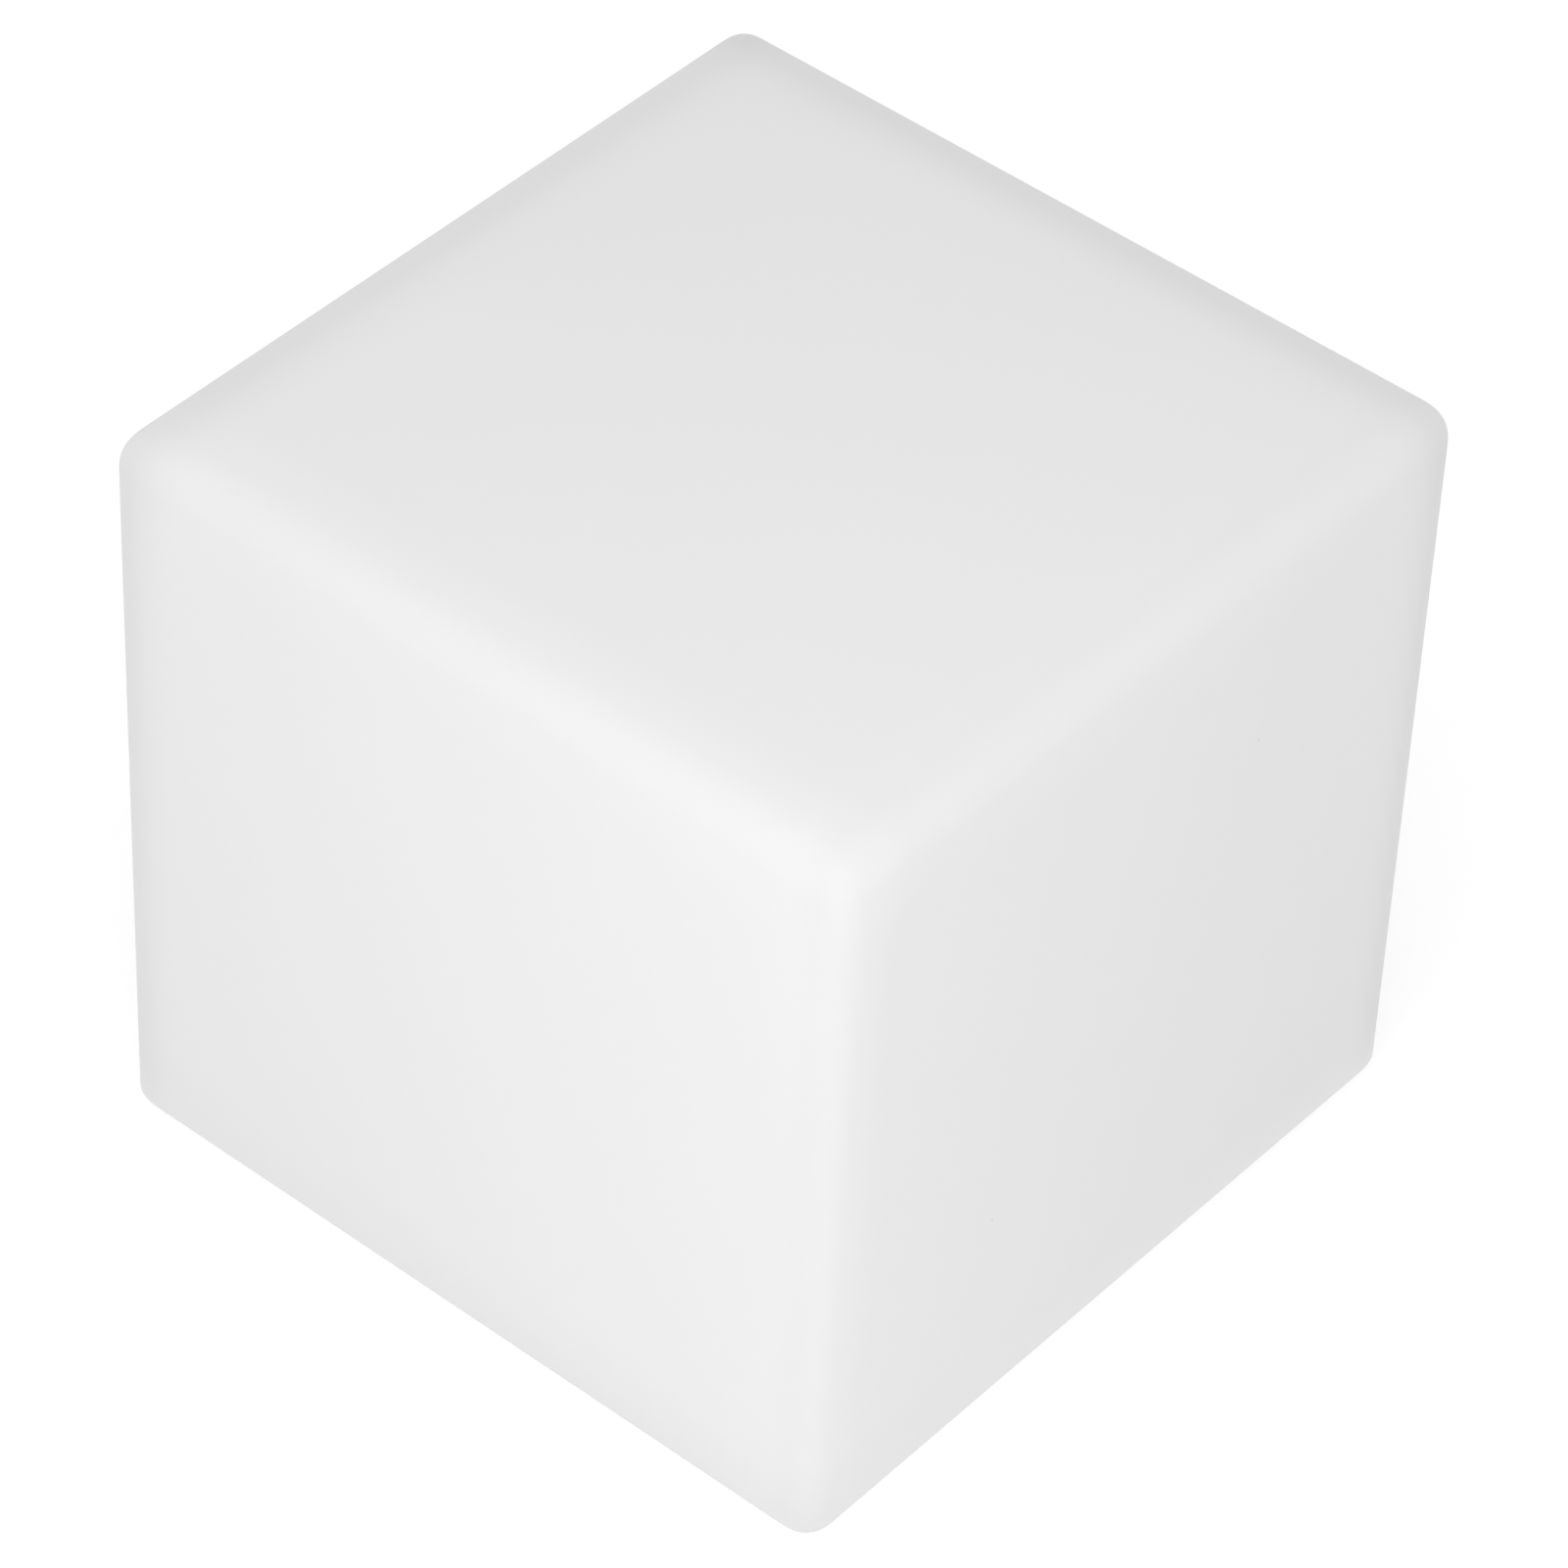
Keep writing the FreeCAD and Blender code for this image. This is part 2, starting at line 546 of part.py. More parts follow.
node(cut("light_dome", dome_blank, dome_core, *around("dome_drills", dome_drill, 6)), "light_dome")

node(turned("dome_seal", [
    (41.75, "barrel_top - 1.0"), (42.05, "barrel_top - 1.3"), (42.95, "barrel_top - 1.3"), (43.25, "barrel_top - 1.0"),
    (43.25, "barrel_top - 0.3"), (42.95, "barrel_top"), (42.05, "barrel_top"), (41.75, "barrel_top - 0.3")]), "dome_seal")

small_screw = screw("small_screw", 2.1, 1.4, 1.0, 7.0)
dome_screw_at = copy("dome_screw_at", small_screw, ("dome_screw_radius", 0, "barrel_top + dome_flange_thick"), FLIP)
node(group("dome_screws", *around("dome_screws_at", dome_screw_at, 6)), "dome_screws")

# ------------------------------------------------------------------ light board
led_low = "barrel_top - board_thick"
board_disc = cyl("led_board_disc", "led_board_radius", "board_thick", (0, 0, led_low))
board_cuts = [cyl("led_board_hole_%d" % i, 1.2, 5, ("%d * post_x" % sx, "%d * post_y" % sy, "barrel_top - 3"))
              for i, (sx, sy) in enumerate(((1, 1), (-1, 1), (-1, -1), (1, -1)))]
board_cuts.append(cyl("led_board_key", 1.5, 5, (0, "led_board_radius", "barrel_top - 3")))
node(cut("led_board", board_disc, *board_cuts), "led_board")
node(group("led_board_screws", *[copy("led_board_screw_%d" % i, small_screw, ("%d * post_x" % sx, "%d * post_y" % sy, "barrel_top"), FLIP)
                                 for i, (sx, sy) in enumerate(((1, 1), (-1, 1), (-1, -1), (1, -1)))]), "led_board_screws")

rgb_body = cbox("rgb_body", 5.0, 5.0, 1.5, (24.0, 0, "barrel_top"))
rgb_well = cyl("rgb_well", 2.0, 2, (24.0, 0, "barrel_top + 1.2"))
rgb_led = cut("rgb_led", rgb_body, rgb_well)
node(group("rgb_leds", *around("rgb_leds_at", rgb_led, 12, 15.0)), "rgb_leds")
white_body = cbox("white_body", 3.5, 2.8, 0.9, (14.0, 0, "barrel_top"))
white_well = cbox("white_well", 2.6, 1.9, 1, (14.0, 0, "barrel_top + 0.7"))
white_led = cut("white_led", white_body, white_well)
node(group("white_leds", *around("white_leds_at", white_led, 6, 30.0)), "white_leds")
eye_box = cbox("ir_box", 5.6, 3.0, 6.6, (0, 0.6, "barrel_top"))
eye_lens = cyl("ir_lens", 1.9, 1.6, (0, "-0.9 + 1.0", "barrel_top + 4.2"), Rotation(Vector(1, 0, 0), 90))
node(fuse("ir_receiver", eye_box, eye_lens), "ir_receiver")

# ---------------------------------------------------------------- control board
ctl_top = "ctl_low + board_thick"
ctl_blank = cbox("ctl_blank", "2 * ctl_half_x", "2 * ctl_half_y", "board_thick", (0, 0, "ctl_low"))
ctl_round = round_edges("ctl_round", ctl_blank, lambda e: 2.0 if upright(e) else None)
node(cut("control_board", ctl_round, *[cyl("ctl_hole_%d" % i, 1.1, 5, ("%d * ctl_post_x" % sx, "%d * ctl_post_y" % sy, "ctl_low - 1"))
                                       for i, (sx, sy) in enumerate(((1, 1), (-1, 1), (-1, -1), (1, -1)))]), "control_board")
tiny_screw = screw("tiny_screw", 1.9, 1.2, 0.8, 4.6)
node(group("control_board_screws", *[copy("ctl_screw_%d" % i, tiny_screw, ("%d * ctl_post_x" % sx, "%d * ctl_post_y" % sy, ctl_top), FLIP)
                                     for i, (sx, sy) in enumerate(((1, 1), (-1, 1), (-1, -1), (1, -1)))]), "control_board_screws")


def chip(name, length, width, tall, x, y, leads, pitch):
    """A moulded package with gull-wing leads on its two long sides."""
    base = cbox(name + "_case", length, width, tall, (x, y, ctl_top + " + 0.1"))
    legs = []
    for k in range(leads):
        lx = x + (k - (leads - 1) / 2.0) * pitch
        legs.append(cbox("%s_leg_%d" % (name, k), 0.4, width + 2.0, 0.3, (lx, y, ctl_top)))
    return fuse(name, base, *legs)


node(chip("controller_chip", 9.9, 3.9, 1.5, 0, 15.5, 8, 1.27), "controller_chip")
node(group("driver_chips", chip("driver_chip_a", 4.9, 3.9, 1.5, -4.5, 3.0, 4, 1.27), chip("driver_chip_b", 4.9, 3.9, 1.5, 4.5, -4.5, 4, 1.27)), "driver_chips")
coil_base = cbox("coil_base", 5.0, 5.0, 2.6, (5.0, -20.5, ctl_top))
node(round_edges("inductor", coil_base, lambda e: 1.0 if upright(e) else None), "inductor")
can = cyl("cap_can", 2.0, 4.4, (-5.5, -20.5, ctl_top + " + 0.4"))
can_foot = cbox("cap_foot", 4.3, 4.3, 0.6, (-5.5, -20.5, ctl_top))
small_caps = [cbox("cap_small_%d" % i, 2.0, 1.25, 0.9, (x, y, ctl_top)) for i, (x, y) in enumerate(((-8.6, 12.5), (-8.6, -3.0), (8.8, 7.0), (8.8, -12.5), (0.0, -12.5)))]
node(group("capacitors", fuse("cap_tall", can, can_foot), *small_caps), "capacitors")

# power socket: drawn steel sleeve standing up from the underside of the board
sleeve = oblong("port_sleeve", 8.94, 3.26, "ctl_low - base_low - base_plate - 0.1", (0, "port_y", "base_low + base_plate + 0.1"))
sleeve_bore = oblong("port_sleeve_bore", 8.34, 2.56, 5.4, (0, "port_y", "base_low + base_plate - 0.9"))
tongue = cbox("port_tongue", 6.7, 0.7, 5.6, (0, "port_y", "base_low + base_plate + 0.9"))
node(fuse("charging_socket", cut("port_sleeve_cut", sleeve, sleeve_bore), tongue), "charging_socket")

# tactile switch under the board, its plunger moves with the button
switch_case = cbox("switch_case", 6.0, 6.0, 3.5, (0, "button_y", "ctl_low - 3.5"))
switch_bore = cyl("switch_bore", 1.80, 2.9, (0, "button_y", "ctl_low - 3.5"))
node(cut("tact_switch", switch_case, switch_bore), "tact_switch")
plunger_low = "base_low + 4.8"
node(cyl("switch_plunger", 1.72, 3.0, (0, "button_y", plunger_low)), "switch_plunger")

led_lamp = cbox("indicator_case", 2.0, 1.25, 0.8, (0, 6, "ctl_low - 0.8"))
node(led_lamp, "charge_indicator")
pipe = fuse("light_pipe", cyl("light_pipe_rod", 1.25, 8.0, (0, 6, "base_low")), cyl("light_pipe_collar", 2.1, 1.0, (0, 6, "base_low + base_plate")))
node(pipe, "light_pipe")

# ---------------------------------------------------------------------- battery
ALONG_X = Rotation(Vector(0, 1, 0), 90)
cell = cyl("cell_blank", "cell_radius", "cell_length", ("-cell_length / 2", 0, "cell_mid"), ALONG_X)
node(round_edges("battery_cell", cell, lambda e: 0.8 if e.Closed and e.BoundBox.XLength < 0.01 else None), "battery_cell")
tabs = []
for side in (1, -1):
    tag = "pos" if side > 0 else "neg"
    tabs.append(box("tab_" + tag, 0.3, 9.0, 7.0, ("%s" % ("cell_length / 2" if side > 0 else "-cell_length / 2 - 0.3"), -4.0, "cell_mid - 3.5")))
node(group("battery_tabs", *tabs), "battery_tabs")
tray = cbox("tray_block", 58.0, 22.6, 7.0, (0, 0, "grip_top + grip_wall"))
tray_bore = cyl("tray_bore", "cell_radius + 0.1", 80, (-40, 0, "cell_mid"), ALONG_X)
tray_ears = [cbox("tray_ear_%d" % i, 12.0, 5.6, 7.0, (0, "%d * 13.6" % s, "grip_top + grip_wall")) for i, s in enumerate((1, -1))]
tray_window = cbox("tray_window", 17.0, 30.0, 3.0, (0, 0, "grip_top + grip_wall - 1"))
tray_lightening = [cbox("tray_light_%d" % i, 12.0, 13.0, 6.0, ("%d * 20" % s, 0, "grip_top + grip_wall - 1")) for i, s in enumerate((1, -1))]
tray_drill = [cyl("tray_drill_%d" % i, 1.05, 9, (0, "%d * 14.0" % s, "grip_top + grip_wall + 0.4")) for i, s in enumerate((1, -1))]
node(cut("battery_cradle", fuse("tray_all", tray, *tray_ears), tray_bore, *(tray_drill + tray_lightening)), "battery_cradle")
strap_low = "grip_top + grip_wall + 7.0"
band = cyl("strap_band", "cell_radius + 1.3", 12, (-6, 0, "cell_mid"), ALONG_X)
band_inner = cyl("strap_inner", "cell_radius + 0.1", 20, (-10, 0, "cell_mid"), ALONG_X)
band_cut = cbox("strap_cut", 30, 60, 40, (0, 0, strap_low + " + 0.5 - 40"))
strap_ears = [cbox("strap_ear_%d" % i, 12.0, 7.4, 1.6, (0, "%d * 12.7" % s, strap_low)) for i, s in enumerate((1, -1))]
strap_drill = [cyl("strap_drill_%d" % i, 1.2, 9, (0, "%d * 14.0" % s, strap_low + " - 2")) for i, s in enumerate((1, -1))]
band_half = cut("strap_half", band, band_cut)
node(cut("battery_strap", fuse("strap_all", band_half, *strap_ears), band_inner, *strap_drill), "battery_strap")
node(group("battery_strap_screws", *[copy("strap_screw_%d" % i, tiny_screw, (0, "%d * 14.0" % s, strap_low + " + 1.6"), FLIP) for i, s in enumerate((1, -1))]), "battery_strap_screws")

plug_block = cbox("plug_block", 8.0, 6.0, 5.2, (0, 26.0, ctl_top))
plug_wall = cbox("plug_wall", 9.6, 3.4, 3.6, (0, 24.2, ctl_top))
node(fuse("battery_connector", plug_block, plug_wall), "battery_connector")
zc = val("cell_mid")
xt = val("cell_length") / 2 + 0.3 + 0.8
zw = val(ctl_top) + 2.9
for side, colour in ((1, "red"), (-1, "black")):
    lead = tube([(side * xt, 1.0, zc), (side * xt, 18.0, zc), (side * 18.0, 35.0, 20.5), (side * 4.5, 36.8, zw + 0.6), (side * 2.0, 29.0, zw)], 0.8)
    node(feature("battery_lead_" + colour, lead), "battery_lead_" + colour)

# five-way lead between the boards
low_sock = cbox("link_low", 8.0, 4.0, 3.4, (0, -29.0, ctl_top))
high_sock = cbox("link_high", 8.0, 4.0, 3.4, (0, -29.0, led_low + " - 3.4"))
node(group("link_sockets", low_sock, high_sock), "link_sockets")
z0, z1 = val(ctl_top) + 3.4, val(led_low) - 3.4
wires = []
for k in range(5):
    x = (k - 2) * 1.25
    wires.append(tube([(x, -29.0, z0), (x, -29.0, z0 + 3.6), (x, -33.2, z0 + 6.6), (x, -33.2, z1 - 6.6), (x, -29.0, z1 - 3.6), (x, -29.0, z1)], 0.55))
node(feature("board_link_leads", Part.makeCompound(wires)), "board_link_leads")

# ----------------------------------------------------------------- power button
cap_blank = cyl("button_cap_blank", "button_radius", "base_plate + 0.5", (0, "button_y", "base_low + 0.3"))
cap_soft = round_edges("button_cap_soft", cap_blank, lambda e: 0.7 if e.Closed and level(e, val("base_low + 0.3")) else None)
cap_flange = cyl("button_flange", 6.8, 0.9, (0, "button_y", "base_low + base_plate + 0.45"))
cap_stem = cyl("button_stem", 2.6, 1.9, (0, "button_y", "base_low + 2.9"))
cap_dimple = sphere("button_dimple", 9.0, (0, "button_y", "base_low + 0.3 - 8.7"))
node(cut("power_button", fuse("button_blank", cap_soft, cap_flange, cap_stem), cap_dimple), "power_button")
seal_ring = cyl("button_seal_ring", 6.9, 0.4, (0, "button_y", "base_low + base_plate"))
seal_hole = cyl("button_seal_hole", "button_hole + 0.05", 2, (0, "button_y", "base_low + base_plate - 0.5"))
node(cut("button_seal", seal_ring, seal_hole), "button_seal")

# ------------------------------------------------------------------- port cover
flap_low = "flap_axis_z - flap_thick / 2"
flap_plate_box = box("flap_plate_box", "2 * flap_half", "flap_axis_y - flap_far", "flap_thick", ("-flap_half", "flap_far", flap_low))
flap_plate = round_edges("flap_plate", flap_plate_box, lambda e: 1.3 if upright(e) and e.Vertexes[0].Y < val("flap_axis_y") - 2 else None)
flap_fold = cyl("flap_fold", "flap_thick / 2", "2 * flap_half", ("-flap_half", "flap_axis_y", "flap_axis_z"), ALONG_X)
flap_plug = oblong("flap_plug", "port_long - 0.9", "port_short - 0.9", "base_low + base_plate - flap_axis_z - 0.2", (0, "port_y", "flap_axis_z"))
flap_lip = oblong("flap_lip", 6.0, 2.6, "flap_thick", (0, "flap_far - 0.2", flap_low))
node(fuse("charge_flap", flap_plate, flap_fold, flap_plug, flap_lip), "charge_flap")
anchor_plate = box("anchor_plate", "2 * flap_half", 3.6, "flap_thick", ("-flap_half", "flap_axis_y + flap_thick / 2 + 0.3", flap_low))
anchor_stem = cyl("anchor_stem", 1.5, 3.6, (0, "flap_axis_y + 2.6", "flap_axis_z"))
anchor_barb = cone("anchor_barb", 2.3, 1.2, 1.6, (0, "flap_axis_y + 2.6", "base_low + base_plate + 0.05"))
node(fuse("flap_anchor", anchor_plate, anchor_stem, anchor_barb), "flap_anchor")

# ------------------------------------------------------------------------ write
doc.recompute()
bad = []
for obj in doc.Objects:
    if any(s in ("Invalid", "Error") for s in obj.State):
        bad.append("%s: %s" % (obj.Name, obj.State))
for obj, label in NODES:
    shape = obj.Shape
    if shape.isNull() or not shape.isValid() or not shape.Solids:
        bad.append("%s: null, invalid or empty" % label)
if bad:
    raise RuntimeError("; ".join(bad))

labels = [label for _, label in NODES]
if len(set(labels)) != len(labels) or len(labels) > 60:
    raise RuntimeError("node names are not unique or too many")
os.makedirs("parts", exist_ok=True)
for obj, label in NODES:
    obj.Shape.exportStep("parts/%s.step" % label)
    b = obj.Shape.BoundBox
    print("%-22s solids %2d  vol %9.1f  x %7.2f %7.2f  y %7.2f %7.2f  z %6.2f %6.2f" % (
        label, len(obj.Shape.Solids), obj.Shape.Volume, b.XMin, b.XMax, b.YMin, b.YMax, b.ZMin, b.ZMax))
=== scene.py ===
# Rounded white cube lantern standing on a pale floor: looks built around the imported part.
import bpy
import bmesh
import math
from mathutils import Vector, Matrix


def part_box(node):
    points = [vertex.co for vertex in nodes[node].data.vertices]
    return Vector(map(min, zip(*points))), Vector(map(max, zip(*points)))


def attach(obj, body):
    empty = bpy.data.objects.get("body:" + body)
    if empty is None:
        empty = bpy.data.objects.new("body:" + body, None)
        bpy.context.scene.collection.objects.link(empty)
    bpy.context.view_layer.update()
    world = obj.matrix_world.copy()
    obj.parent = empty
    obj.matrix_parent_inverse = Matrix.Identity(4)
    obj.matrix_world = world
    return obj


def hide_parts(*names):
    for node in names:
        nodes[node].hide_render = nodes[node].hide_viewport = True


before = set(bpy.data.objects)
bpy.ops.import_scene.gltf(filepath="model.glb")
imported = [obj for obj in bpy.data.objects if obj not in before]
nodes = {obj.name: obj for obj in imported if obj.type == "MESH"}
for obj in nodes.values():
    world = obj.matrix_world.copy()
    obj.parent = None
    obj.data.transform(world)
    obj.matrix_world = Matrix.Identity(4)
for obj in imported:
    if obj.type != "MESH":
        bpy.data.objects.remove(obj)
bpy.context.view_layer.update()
scene = bpy.context.scene
MM = 0.001

# ------------------------------------------------------------------ materials


class Graph:
    """A material under construction: short calls that add and wire nodes."""

    def __init__(self, name):
        self.mat = bpy.data.materials.new(name)
        self.mat.use_nodes = True
        self.tree = self.mat.node_tree
        self.tree.nodes.clear()
        self.out = self.tree.nodes.new("ShaderNodeOutputMaterial")
        self.place = self.tree.nodes.new("ShaderNodeTexCoord")

    def node(self, kind, **sets):
        n = self.tree.nodes.new(kind)
        for k, v in sets.items():
            setattr(n, k, v)
        return n

    def link(self, a, b):
        self.tree.links.new(a, b)

    def wire(self, value, socket):
        """A number or colour is set on the socket; an output is linked to it."""
        if isinstance(value, bpy.types.NodeSocket):
            self.link(value, socket)
        else:
            socket.default_value = value

    def coords(self, scale=(1, 1, 1), turn=(0, 0, 0), shift=(0, 0, 0)):
        m = self.node("ShaderNodeMapping")
        m.inputs["Scale"].default_value = scale
        m.inputs["Rotation"].default_value = turn
        m.inputs["Location"].default_value = shift
        self.link(self.place.outputs["Object"], m.inputs["Vector"])
        return m.outputs["Vector"]

    def noise(self, scale, detail=3.0, rough=0.5, vec=None, distortion=0.0):
        n = self.node("ShaderNodeTexNoise")
        n.inputs["Scale"].default_value = scale
        n.inputs["Detail"].default_value = detail
        n.inputs["Roughness"].default_value = rough
        n.inputs["Distortion"].default_value = distortion
        self.link(vec or self.place.outputs["Object"], n.inputs["Vector"])
        return n.outputs["Fac"]

    def cells(self, scale, vec=None, feature="F1", randomness=1.0):
        n = self.node("ShaderNodeTexVoronoi", feature=feature)
        n.inputs["Scale"].default_value = scale
        n.inputs["Randomness"].default_value = randomness
        self.link(vec or self.place.outputs["Object"], n.inputs["Vector"])
        return n

    def span(self, value, a, b, low, high, smooth=False):
        n = self.node("ShaderNodeMapRange")
        if smooth:
            n.interpolation_type = "SMOOTHSTEP"
        self.link(value, n.inputs["Value"])
        n.inputs["From Min"].default_value = a
        n.inputs["From Max"].default_value = b
        n.inputs["To Min"].default_value = low
        n.inputs["To Max"].default_value = high
        return n.outputs["Result"]

    def math(self, op, a, b=None, c=None):
        n = self.node("ShaderNodeMath", operation=op)
        self.wire(a, n.inputs[0])
        if b is not None:
            self.wire(b, n.inputs[1])
        if c is not None:
            self.wire(c, n.inputs[2])
        return n.outputs[0]

    def mix(self, fac, a, b):
        n = self.node("ShaderNodeMix", data_type="RGBA")
        self.wire(fac, n.inputs[0])
        self.wire(a if isinstance(a, bpy.types.NodeSocket) else (*a[:3], 1.0), n.inputs[6])
        self.wire(b if isinstance(b, bpy.types.NodeSocket) else (*b[:3], 1.0), n.inputs[7])
        return n.outputs[2]

    def bump(self, height, strength, distance, base=None):
        n = self.node("ShaderNodeBump")
        n.inputs["Strength"].default_value = strength
        n.inputs["Distance"].default_value = distance
        self.link(height, n.inputs["Height"])
        if base is not None:
            self.link(base, n.inputs["Normal"])
        return n.outputs["Normal"]

    def surface(self, **sets):
        n = self.node("ShaderNodeBsdfPrincipled")
        for k, v in sets.items():
            self.wire(v, n.inputs[k])
        self.link(n.outputs["BSDF"], self.out.inputs["Surface"])
        return n


def moulded_polyethylene(name):
    """Rotationally moulded white polyethylene: neutral, matt, with a very fine orange
    peel, soft cloudy gloss and a few specks."""
    g = Graph(name)
    cloud = g.noise(14.0, 4.0, 0.55)
    grain = g.noise(900.0, 2.0, 0.5)
    peel = g.noise(330.0, 3.0, 0.55)
    tint = g.mix(g.span(cloud, 0.3, 0.7, 0.0, 1.0), (0.822, 0.822, 0.822), (0.828, 0.828, 0.828))
    # scattered specks: a few bits of darker powder well under a millimetre across
    cell = g.cells(30.0)
    dot = g.span(cell.outputs["Distance"], 0.008, 0.020, 1.0, 0.0, smooth=True)
    split = g.node("ShaderNodeSeparateColor")
    g.link(cell.outputs["Color"], split.inputs[0])
    chosen = g.math("GREATER_THAN", split.outputs[0], 0.90)
    speck = g.math("MULTIPLY", g.math("MULTIPLY", dot, chosen), 0.22)
    tint = g.mix(speck, tint, (0.42, 0.42, 0.42))
    gloss = g.math("ADD", g.span(cloud, 0.2, 0.8, 0.62, 0.68), g.math("MULTIPLY", grain, 0.05))
    normal = g.bump(peel, 0.06, 0.00006)
    normal = g.bump(grain, 0.08, 0.00003, normal)
    g.surface(**{"Base Color": tint, "Roughness": gloss, "Normal": normal, "IOR": 1.5, "Specular IOR Level": 0.12})
    return g.mat


def moulded(name, colour, rough, spark=0.25, size=2600.0, scatter=0.0, scuff=0.35):
    """Injection-moulded plastic: spark-eroded texture, cloudy gloss, handling marks."""
    g = Graph(name)
    cloud = g.noise(30.0, 4.0, 0.6)
    fine = g.noise(size, 2.0, 0.6)
    pits = g.cells(size * 0.55)
    c = [min(1.0, v * 1.03) for v in colour]
    d = [v * 0.955 for v in colour]
    tint = g.mix(g.span(cloud, 0.3, 0.72, 0.0, 1.0), d, c)
    marks = g.noise(120.0, 6.0, 0.65, g.coords((1.0, 9.0, 1.0), (0.0, 0.0, 0.6)), 1.2)
    worn = g.span(marks, 0.60, 0.72, 0.0, scuff)
    tint = g.mix(g.math("MULTIPLY", worn, 0.22), tint, [v * 0.8 for v in colour])
    gloss = g.math("ADD", g.span(fine, 0.2, 0.8, rough - 0.05, rough + 0.05), g.math("MULTIPLY", worn, -0.10))
    h = g.math("ADD", g.math("MULTIPLY", fine, 0.6), g.math("MULTIPLY", pits.outputs["Distance"], 0.6))
    normal = g.bump(h, spark, 0.00010)
    s = g.surface(**{"Base Color": tint, "Roughness": gloss, "Normal": normal, "IOR": 1.5, "Specular IOR Level": 0.45,
                     "Subsurface Weight": scatter, "Subsurface Scale": 0.0015})
    s.inputs["Subsurface Radius"].default_value = (1.0, 1.0, 1.0)
    return g.mat


def silicone(name, colour, rough=0.55, scatter=0.5):
    """Soft silicone: matt skin, faint bloom and lint-fine dust, slightly see-through."""
    g = Graph(name)
    cloud = g.noise(60.0, 5.0, 0.6)
    fine = g.noise(3200.0, 2.0, 0.5)
    dust = g.cells(700.0)
    fleck = g.span(dust.outputs["Distance"], 0.05, 0.14, 1.0, 0.0, smooth=True)
    pick = g.math("GREATER_THAN", g.noise(260.0, 1.0), 0.62)
    tint = g.mix(g.span(cloud, 0.3, 0.7, 0.0, 1.0), [v * 0.94 for v in colour], [min(1, v * 1.03) for v in colour])
    tint = g.mix(g.math("MULTIPLY", g.math("MULTIPLY", fleck, pick), 0.18), tint, (0.75, 0.75, 0.73))
    gloss = g.span(cloud, 0.25, 0.75, rough - 0.06, rough + 0.08)
    normal = g.bump(fine, 0.22, 0.00005)
    s = g.surface(**{"Base Color": tint, "Roughness": gloss, "Normal": normal, "IOR": 1.43, "Subsurface Weight": scatter,
                     "Subsurface Scale": 0.0012, "Sheen Weight": 0.08})
    s.inputs["Subsurface Radius"].default_value = (1.0, 1.0, 1.0)
    return g.mat


def metal(name, colour, rough, brushed=0.4, stretch=(1, 14, 1), tarnish=0.15):
    """Plated or drawn metal: directional brushing, spotty tarnish."""
    g = Graph(name)
    lines = g.noise(900.0, 4.0, 0.6, g.coords(stretch))
    spots = g.noise(240.0, 5.0, 0.6)
    worn = g.span(spots, 0.52, 0.72, 0.0, tarnish)
    tint = g.mix(worn, colour, [v * 0.62 for v in colour])
    gloss = g.math("ADD", g.span(lines, 0.2, 0.8, rough - 0.06, rough + 0.08), g.math("MULTIPLY", worn, 0.8))
    normal = g.bump(lines, brushed, 0.00003)
    g.surface(**{"Base Color": tint, "Metallic": 1.0, "Roughness": gloss, "Normal": normal})
    return g.mat


def board(name, mask, copper_tint, gold=(0.80, 0.62, 0.30)):
    """Printed board: solder mask over tracks that run at right angles, in patches between
    poured areas, with pads and vias."""
    g = Graph(name)
    lines = []
    for scale, turn, shift in ((120.0, 0.0, 0.0), (95.0, 0.5 * math.pi, 0.0021), (260.0, 0.25 * math.pi, 0.0007)):
        track = g.node("ShaderNodeTexBrick", offset=0.37, squash=1.7, offset_frequency=3, squash_frequency=2)
        g.link(g.coords((1, 1, 1), (0, 0, turn), (shift, shift, 0)), track.inputs["Vector"])
        track.inputs["Scale"].default_value = scale
        track.inputs["Mortar Size"].default_value = 0.014 if scale < 200 else 0.03
        track.inputs["Color1"].default_value = (0, 0, 0, 1)
        track.inputs["Color2"].default_value = (0, 0, 0, 1)
        track.inputs["Mortar"].default_value = (1, 1, 1, 1)
        lines.append(track.outputs["Color"])
    area = g.noise(95.0, 1.0)
    first = g.math("MULTIPLY", lines[0], g.math("GREATER_THAN", area, 0.52))
    second = g.math("MULTIPLY", lines[1], g.math("LESS_THAN", area, 0.50))
    third = g.math("MULTIPLY", lines[2], g.math("GREATER_THAN", g.noise(170.0, 0.0), 0.60))
    copper = g.math("MAXIMUM", g.math("MAXIMUM", first, second), third)
    pour = g.span(g.noise(60.0, 0.0, 0.5, g.coords((1, 1, 1), (0, 0, 0), (0.013, 0.004, 0))), 0.545, 0.550, 0.0, 0.45)
    copper = g.math("MAXIMUM", copper, pour)
    via = g.cells(330.0)
    ring = g.span(via.outputs["Distance"], 0.10, 0.13, 1.0, 0.0)
    pick = g.math("GREATER_THAN", g.noise(150.0, 1.0), 0.60)
    ring = g.math("MULTIPLY", ring, pick)
    tint = g.mix(g.math("MULTIPLY", copper, 0.75), mask, copper_tint)
    tint = g.mix(ring, tint, gold)
    weave = g.noise(1500.0, 2.0)
    normal = g.bump(copper, 0.25, 0.00004)
    normal = g.bump(weave, 0.08, 0.00003, normal)
    g.surface(**{"Base Color": tint, "Roughness": g.span(weave, 0.2, 0.8, 0.28, 0.40), "Metallic": g.math("MULTIPLY", ring, 0.9),
                 "Normal": normal, "Coat Weight": 0.25, "Coat Roughness": 0.2})
    return g.mat


